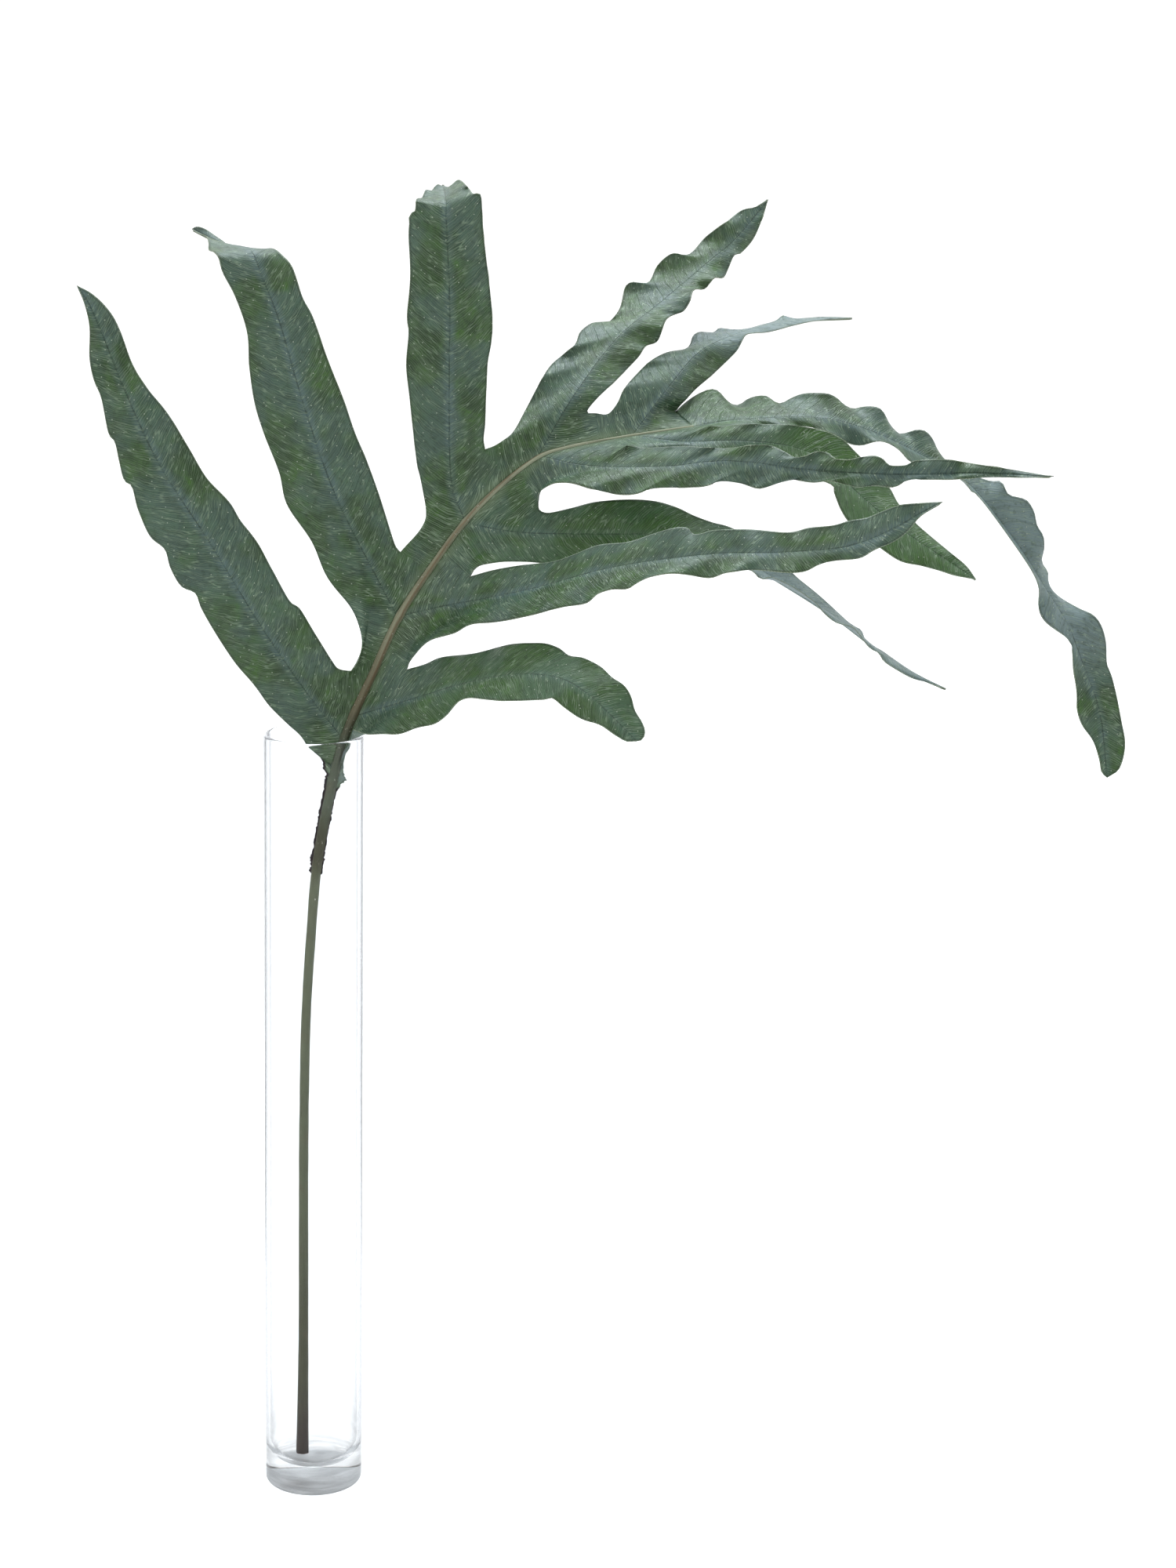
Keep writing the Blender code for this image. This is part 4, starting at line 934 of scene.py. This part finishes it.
def shape_strip(lobe, widths):
    """The torn strip of leaf that runs down the stalk below the lowest lobe of one side."""
    lowest, highest = widths[0][0], widths[-1][0]
    shares = [step / SEARCH_STEPS for step in range(SEARCH_STEPS)]
    spread = [step / JOINED_COLUMNS for step in range(JOINED_COLUMNS + 1)]
    points = []
    for step in range(STRIP_RINGS + 1):
        height = lowest + (highest - lowest) * step / STRIP_RINGS
        share = next(share for share in shares if rachis.line.at(share).z > height)
        tears = noise.noise(Vector((height / TEAR_LENGTH, lobe.hand * 5, 0)))
        tears += noise.noise(Vector((height / SMALL_TEAR_LENGTH, 3, lobe.hand)))
        ragged = 1 + TEAR_DEPTH * tears * (1 - smooth((height - RAGGED_TO) / RAGGED_FADE))
        width = between(widths, height) * ragged + rachis.radius(share) * STRIP_START
        inner, way = rachis.edge(share, lobe.hand), rachis.outward(share, lobe.hand)
        points.append([inner + way * (width * out) for out in spread])
    points.append([lobe.margin(JOINED * out, -1) for out in spread])
    spans = [(line[-1] - line[0]).length for line in points]
    flat = [[(line[0].z * MM, span * out * MM) for out in spread] for line, span in zip(points, spans)]
    depths = [[span * (1 - out) * MM for out in spread] for span in spans]
    nears = [[span * out * MM for out in spread] for span in spans]
    wholeness = 1.0 if lobe.hand == RIGHT else 0.5
    torn = [1 - wholeness * smooth((line[0].z - DRY_TO) / DRY_FADE) for line in points]
    torn[-1] = 0.0
    # Just below the vase's mouth the right strip is whole and pale with bloom
    bloom = STRIP_BLOOM if lobe.hand == RIGHT else 0.0
    pale = [bloom * smooth((line[0].z - BLOOM_FROM) / BLOOM_FADE) for line in points]
    return shape_sheet("torn_strip", points, flat, depths, nears, torn, pale, False, lobe.hand == RIGHT)


left = [Lobe(facts, LEFT, number) for number, facts in enumerate(LEFT_LOBES)]
right = [Lobe(facts, RIGHT, number) for number, facts in enumerate(RIGHT_LOBES, len(left))]
end = Lobe(END_LOBE, RIGHT, len(left) + len(right))
# Neighbouring lobes share the notch between them, which lies almost as far back as the lower one
for chain, notches, last_row in (([*left, end], LEFT_NOTCHES, 1), ([*right, end], RIGHT_NOTCHES, -1)):
    for number, notch in enumerate(notches):
        upper = chain[number]
        row = last_row if upper.is_end else -1
        depth = upper.depth(CLEAR, row)
        if number:
            depth = depth * (1 - NOTCH_BEHIND) + chain[number - 1].depth(CLEAR, 1) * NOTCH_BEHIND
            chain[number - 1].notches[1] = seen(*notch, depth)
        upper.notches[side_of(row)] = seen(*notch, depth)

sheets = []
for lobe in [*left, *right, end]:
    lobe.draw_outlines()
    made = [lobe.across(column) for column in columns(lobe)]
    points, flat, depths, nears = ([column[part] for column in made] for part in range(4))
    whole = [0.0] * len(points)
    # Pale blue where the bloom list is above 0: bloom and painted sheen
    bloom_and_sheen = [between(lobe.facts.get("bloom", PLAIN), column) for column in columns(lobe)]
    turned_over = lobe.hand == LEFT
    sheets.append(shape_sheet("lobe", points, flat, depths, nears, whole, bloom_and_sheen, True, turned_over))
sheets += [shape_strip(left[0], LEFT_STRIP), shape_strip(right[0], RIGHT_STRIP)]
bpy.ops.object.select_all(action="DESELECT")
for sheet in sheets:
    sheet.select_set(True)
blade = sheets[0]
bpy.context.view_layer.objects.active = blade
bpy.ops.object.join()
blade.name = "leaf_blade"
on_all_of_it(bpy.ops.mesh.remove_doubles, threshold=CLOSE)
bpy.ops.object.shade_smooth()
# Two slots, still empty: the second takes the underside that the thickness adds
blade.data.materials.append(None)
blade.data.materials.append(None)
solid = blade.modifiers.new("solid", "SOLIDIFY")
solid.thickness = RIB_THICKNESS * MM
solid.offset = -1
solid.vertex_group = "thickness"
solid.material_offset = 1
bpy.ops.object.modifier_apply(modifier="solid")

# The net of veins, the white dots and the marks of the edge show on both faces of the leaf, so
# they are one group: masks only, from the blade's own map and its distance from the edge.
VEIN_WANDER, VEIN_SLANT, VEIN_BEND = 0.006, -0.55, -16.0
CELLS_ALONG, CELLS_ACROSS = 800.0, 130.0
COMB_TURNS, COMB_DRIFT = 2350.0, 5.0
SIDE_VEIN_TURNS = 430.0
DOT_SCALE = 185.0
BEAD_TURNS = 4200.0
veins = bpy.data.node_groups.new("leaf veins", "ShaderNodeTree")


def cellular(where, scale, randomness, feature):
    """A net of cells, as the outputs of its node."""
    feeds = {"Vector": where, "Scale": scale, "Randomness": randomness}
    return put(veins, "ShaderNodeTexVoronoi", feeds, feature=feature, voronoi_dimensions="2D").outputs


def part_of(colour, part):
    """One part of a cell's own random colour, which stands for that cell's strength."""
    return put(veins, "ShaderNodeSeparateColor", {"Color": colour}).outputs[part]


spread = put(veins, "ShaderNodeUVMap", {}, uv_map="UVMap").outputs["UV"]
apart = put(veins, "ShaderNodeSeparateXYZ", {"Vector": spread})
length, width = apart.outputs["X"], work(veins, "ABSOLUTE", apart.outputs["Y"])
# The veins leave the midrib at a slant, bend forward and wander a little
wander = times(veins, work(veins, "SUBTRACT", grain(veins, spread, 55.0, 2.0), 0.5), VEIN_WANDER)
bent = times(veins, times(veins, width, width), VEIN_BEND)
slant = work(veins, "MULTIPLY_ADD", width, VEIN_SLANT, length)
slant = work(veins, "ADD", slant, work(veins, "ADD", wander, bent))
side_vein = work(veins, "ABSOLUTE", work(veins, "SINE", times(veins, slant, SIDE_VEIN_TURNS)))
# Between them lies a fine comb of veinlets, linked by a net and stronger in some places
cell_feeds = {"X": times(veins, slant, CELLS_ALONG), "Y": times(veins, apart.outputs["Y"], CELLS_ACROSS)}
cell_place = put(veins, "ShaderNodeCombineXYZ", cell_feeds).outputs["Vector"]
shown = grain(veins, cell_place, 0.55, 1.0)
drift = times(veins, grain(veins, spread, 210.0, 1.0), COMB_DRIFT)
comb = work(veins, "ABSOLUTE", work(veins, "SINE", work(veins, "MULTIPLY_ADD", slant, COMB_TURNS, drift)))
comb = times(veins, fade(veins, comb, 0.34, 0.03), fade(veins, shown, 0.30, 0.62, 0.35, 1.0))
net = fade(veins, cellular(cell_place, 1.0, 0.85, "DISTANCE_TO_EDGE")["Distance"], 0.15, 0.03)
net = times(veins, net, fade(veins, shown, 0.40, 0.62, 0.0, 0.8))
dots = cellular(spread, DOT_SCALE, 0.9, "F1")
dot_share = fade(veins, part_of(dots["Color"], "Green"), 0.35, 0.5)
# The edge has a pale beaded rim and a dark line just inside it
from_edge = put(veins, "ShaderNodeAttribute", {}, attribute_name="from_edge").outputs["Fac"]
beads = fade(veins, work(veins, "SINE", times(veins, length, BEAD_TURNS)), -0.6, 0.6, 0.45, 1.0)
edge_line = work(veins, "ABSOLUTE", work(veins, "SUBTRACT", from_edge, 0.0008))
masks = {
    "Vein": work(veins, "MAXIMUM", comb, net),
    "Cell": part_of(cellular(cell_place, 1.0, 0.85, "F1")["Color"], "Red"),
    "Side vein": fade(veins, side_vein, 0.16, 0.0),
    "Dot": times(veins, fade(veins, dots["Distance"], 0.062, 0.034), dot_share),
    "Costa": fade(veins, width, 0.0004, 0.0001),
    "Beside costa": fade(veins, width, 0.0042, 0.0008),
    "Edge": times(veins, fade(veins, from_edge, 0.00042, 0.0002), beads),
    "Edge line": fade(veins, edge_line, 0.0004, 0.0001),
}
for name in masks:
    veins.interface.new_socket(name=name, in_out="OUTPUT", socket_type="NodeSocketFloat")
given = veins.nodes.new("NodeGroupOutput")
for name, value in masks.items():
    veins.links.new(value, given.inputs[name])


def use_veins(tree):
    """Places the group of veins in a material and gives its outputs by name."""
    placed = tree.nodes.new("ShaderNodeGroup")
    placed.node_tree = veins
    return placed.outputs


def marked(tree, name):
    """A mark that the mesh carries from its shaping."""
    return put(tree, "ShaderNodeAttribute", {}, attribute_name=name).outputs["Fac"]


BLUE_BLOOM_AND_SHEEN = (0.20, 0.275, 0.29)
upper_face, tree, shader = new_finish(
    "waxy leaf face", Specular_IOR_Level=0.5, Sheen_Weight=0.06, Sheen_Roughness=0.28,
    Sheen_Tint=(0.75, 0.88, 1.0, 1),
)
marks = use_veins(tree)
place = put(tree, "ShaderNodeTexCoord", {}).outputs["Object"]
patchy = grain(tree, place, 95.0, 4.0, Roughness=0.65, Distortion=0.6)
cloudy, fine = grain(tree, place, 38.0, 3.0), grain(tree, place, 420.0, 3.0)
bloom_and_sheen, dry = marked(tree, "bloom_and_sheen"), marked(tree, "torn")
from_rachis, from_edge = marked(tree, "from_rachis"), marked(tree, "from_edge")
bloom = times(tree, marks["Beside costa"], 0.42)
bloom = work(tree, "ADD", fade(tree, cloudy, 0.40, 0.58, 0.0, 0.52), bloom)
near_rachis = times(tree, fade(tree, from_rachis, 0.0065, 0.0008), fade(tree, cloudy, 0.36, 0.6, 0.25, 1.0))
torn_edge = times(tree, fade(tree, dry, 0.2, 0.45), fade(tree, from_edge, 0.0018, 0.0009))
withered = work(tree, "MAXIMUM", fade(tree, dry, 0.55, 1.0), torn_edge)
# Patches of green under a bloom, which is missing on some lobes, where the leaf is fresh green. At the
# ends of some lobes the pale blue is bloom and painted sheen, the slanting reflection of the white light.
# Over that lie the veins, the rim, the dots and the dry tears
colour = layered(
    tree, (0.025, 0.063, 0.016, 1),
    ((0.049, 0.111, 0.031), fade(tree, patchy, 0.38, 0.58)),
    ((0.046, 0.132, 0.013), fade(tree, patchy, 0.57, 0.67, 0.0, 0.75)),
    ((0.082, 0.140, 0.134), bloom),
    (BLUE_BLOOM_AND_SHEEN, fade(tree, bloom_and_sheen, 0.0, 1.0, 0.0, 0.8)),
    ((0.050, 0.138, 0.018), fade(tree, bloom_and_sheen, 0.0, -1.0, 0.0, 0.7)),
    ((0.014, 0.036, 0.012), times(tree, fade(tree, marks["Cell"], 0.40, 0.95), 0.22)),
    ((0.016, 0.038, 0.014), fade(tree, fine, 0.52, 0.70, 0.0, 0.4)),
    ((0.165, 0.225, 0.115), times(tree, near_rachis, 0.6)),
    ((0.27, 0.37, 0.25), times(tree, marks["Vein"], fade(tree, from_rachis, 0.032, 0.003, 0.62, 0.95))),
    ((0.10, 0.16, 0.09), times(tree, marks["Side vein"], 0.10)),
    ((0.010, 0.026, 0.018), times(tree, marks["Costa"], fade(tree, patchy, 0.42, 0.60, 0.0, 0.5))),
    ((0.02, 0.035, 0.014), times(tree, marks["Edge line"], 0.5)),
    ((0.30, 0.35, 0.24), times(tree, marks["Edge"], 0.7)),
    ((0.48, 0.56, 0.44), times(tree, marks["Dot"], 0.8)),
    ((0.018, 0.009, 0.011), withered),
)
tree.links.new(colour, shader.inputs["Base Color"])
rough = work(tree, "MAXIMUM", fade(tree, fine, 0.3, 0.7, 0.36, 0.52), times(tree, withered, 0.9))
tree.links.new(rough, shader.inputs["Roughness"])
relief = work(tree, "MULTIPLY_ADD", marks["Vein"], -0.5, times(tree, marks["Side vein"], -0.6))
relief = work(tree, "ADD", relief, times(tree, patchy, 0.8))
relief = work(tree, "ADD", relief, times(tree, marks["Costa"], -1.0))
emboss(tree, shader, relief, 0.8, 0.00032)

under_face, tree, shader = new_finish("pale leaf underside", Roughness=0.6, Sheen_Weight=0.2)
marks = use_veins(tree)
place = put(tree, "ShaderNodeTexCoord", {}).outputs["Object"]
cloudy = grain(tree, place, 30.0, 3.0)
colour = layered(
    tree, (0.085, 0.14, 0.095, 1),
    ((0.13, 0.19, 0.15), fade(tree, cloudy, 0.35, 0.65)),
    # Bloom, and painted sheen at the ends of some lobes
    (BLUE_BLOOM_AND_SHEEN, fade(tree, marked(tree, "bloom_and_sheen"), 0.0, 1.0, 0.0, 0.8)),
    ((0.055, 0.10, 0.055), times(tree, marks["Vein"], 0.5)),
    ((0.22, 0.25, 0.15), times(tree, marks["Costa"], 0.8)),
    ((0.20, 0.24, 0.17), times(tree, marks["Side vein"], 0.35)),
    ((0.30, 0.34, 0.25), times(tree, marks["Edge"], 0.6)),
    ((0.03, 0.016, 0.016), fade(tree, marked(tree, "torn"), 0.45, 1.0)),
)
tree.links.new(colour, shader.inputs["Base Color"])
relief = work(tree, "MULTIPLY_ADD", marks["Vein"], 0.6, times(tree, marks["Side vein"], 0.6))
emboss(tree, shader, relief, 0.7, 0.0003)
# The upper face's material goes in the first slot and the underside's in the second
blade.data.materials[0] = upper_face
blade.data.materials[1] = under_face
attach(blade, "root")
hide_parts("frond_blade")


# The studio: a plain white floor in even white light, a large soft box above and behind the leaf
# and a weaker one at the front on the left. The camera stands a little above the leaf's tips.
bpy.ops.mesh.primitive_plane_add(size=16, location=(0, 4, 0))
floor = bpy.context.object
floor.name = "floor"
bpy.ops.object.transform_apply(location=True, rotation=True, scale=True)
white_floor, tree, shader = new_finish(
    "plain white floor", Base_Color=(0.9, 0.9, 0.9, 1), Roughness=0.7, Emission_Strength=0.4
)
straight = put(tree, "ShaderNodeLightPath", {}).outputs["Is Camera Ray"]
tree.links.new(tint(tree, (0, 0, 0, 1), (1.0, 1.0, 1.0), straight), shader.inputs["Emission Color"])
floor.data.materials.append(white_floor)

sky = bpy.data.worlds.new("even white light")
bpy.context.scene.world = sky
sky.use_nodes = True
tree = sky.node_tree
way = put(tree, "ShaderNodeTexCoord", {}).outputs["Generated"]
way = put(tree, "ShaderNodeSeparateXYZ", {"Vector": way}).outputs
rays = put(tree, "ShaderNodeLightPath", {}).outputs
# Dimmer behind the camera and a little at the sides, but plain white where it is looked at
light = fade(tree, way["Y"], -0.8, 0.3, 0.48, 1.0)
light = times(tree, light, fade(tree, work(tree, "ABSOLUTE", way["X"]), 0.55, 0.95, 1.0, 0.95))
light = work(tree, "MAXIMUM", light, times(tree, rays["Is Transmission Ray"], 0.93))
light = work(tree, "MAXIMUM", light, times(tree, rays["Is Camera Ray"], 1.1))
background = tree.nodes["Background"]
background.inputs["Color"].default_value = (1, 1, 1, 1)
tree.links.new(light, background.inputs["Strength"])


LEAF_MIDDLE = Vector((0.15, 0, 0.45))


def hang_light(name, place, size, power):
    """A square soft light at a place, turned to the middle of the leaf."""
    bpy.ops.object.light_add(type="AREA", location=place)
    lamp = bpy.context.object
    lamp.name = name
    lamp.rotation_euler = (LEAF_MIDDLE - Vector(place)).to_track_quat("-Z", "Y").to_euler()
    lamp.data.shape = "SQUARE"
    lamp.data.size = size
    lamp.data.energy = power
    return lamp


top_light = hang_light("top_light", (0.2, 0.9, 2.4), size=1.6, power=42)
top_light.data.color = (0.84, 0.93, 1.0)
hang_light("front_light", (-1.4, -1.9, 1.9), size=1.0, power=10)

bpy.ops.object.camera_add()
camera = bpy.context.object
camera.name = "camera"
turned = Matrix((VIEW_ASIDE, VIEW_ABOVE, -AHEAD)).transposed().to_4x4()
turned.translation = EYE * MM
camera.matrix_world = turned
camera.data.sensor_width = 36
camera.data.lens = 81
camera.data.clip_end = 60
bpy.context.scene.camera = camera
bpy.context.scene.view_settings.view_transform = "Standard"
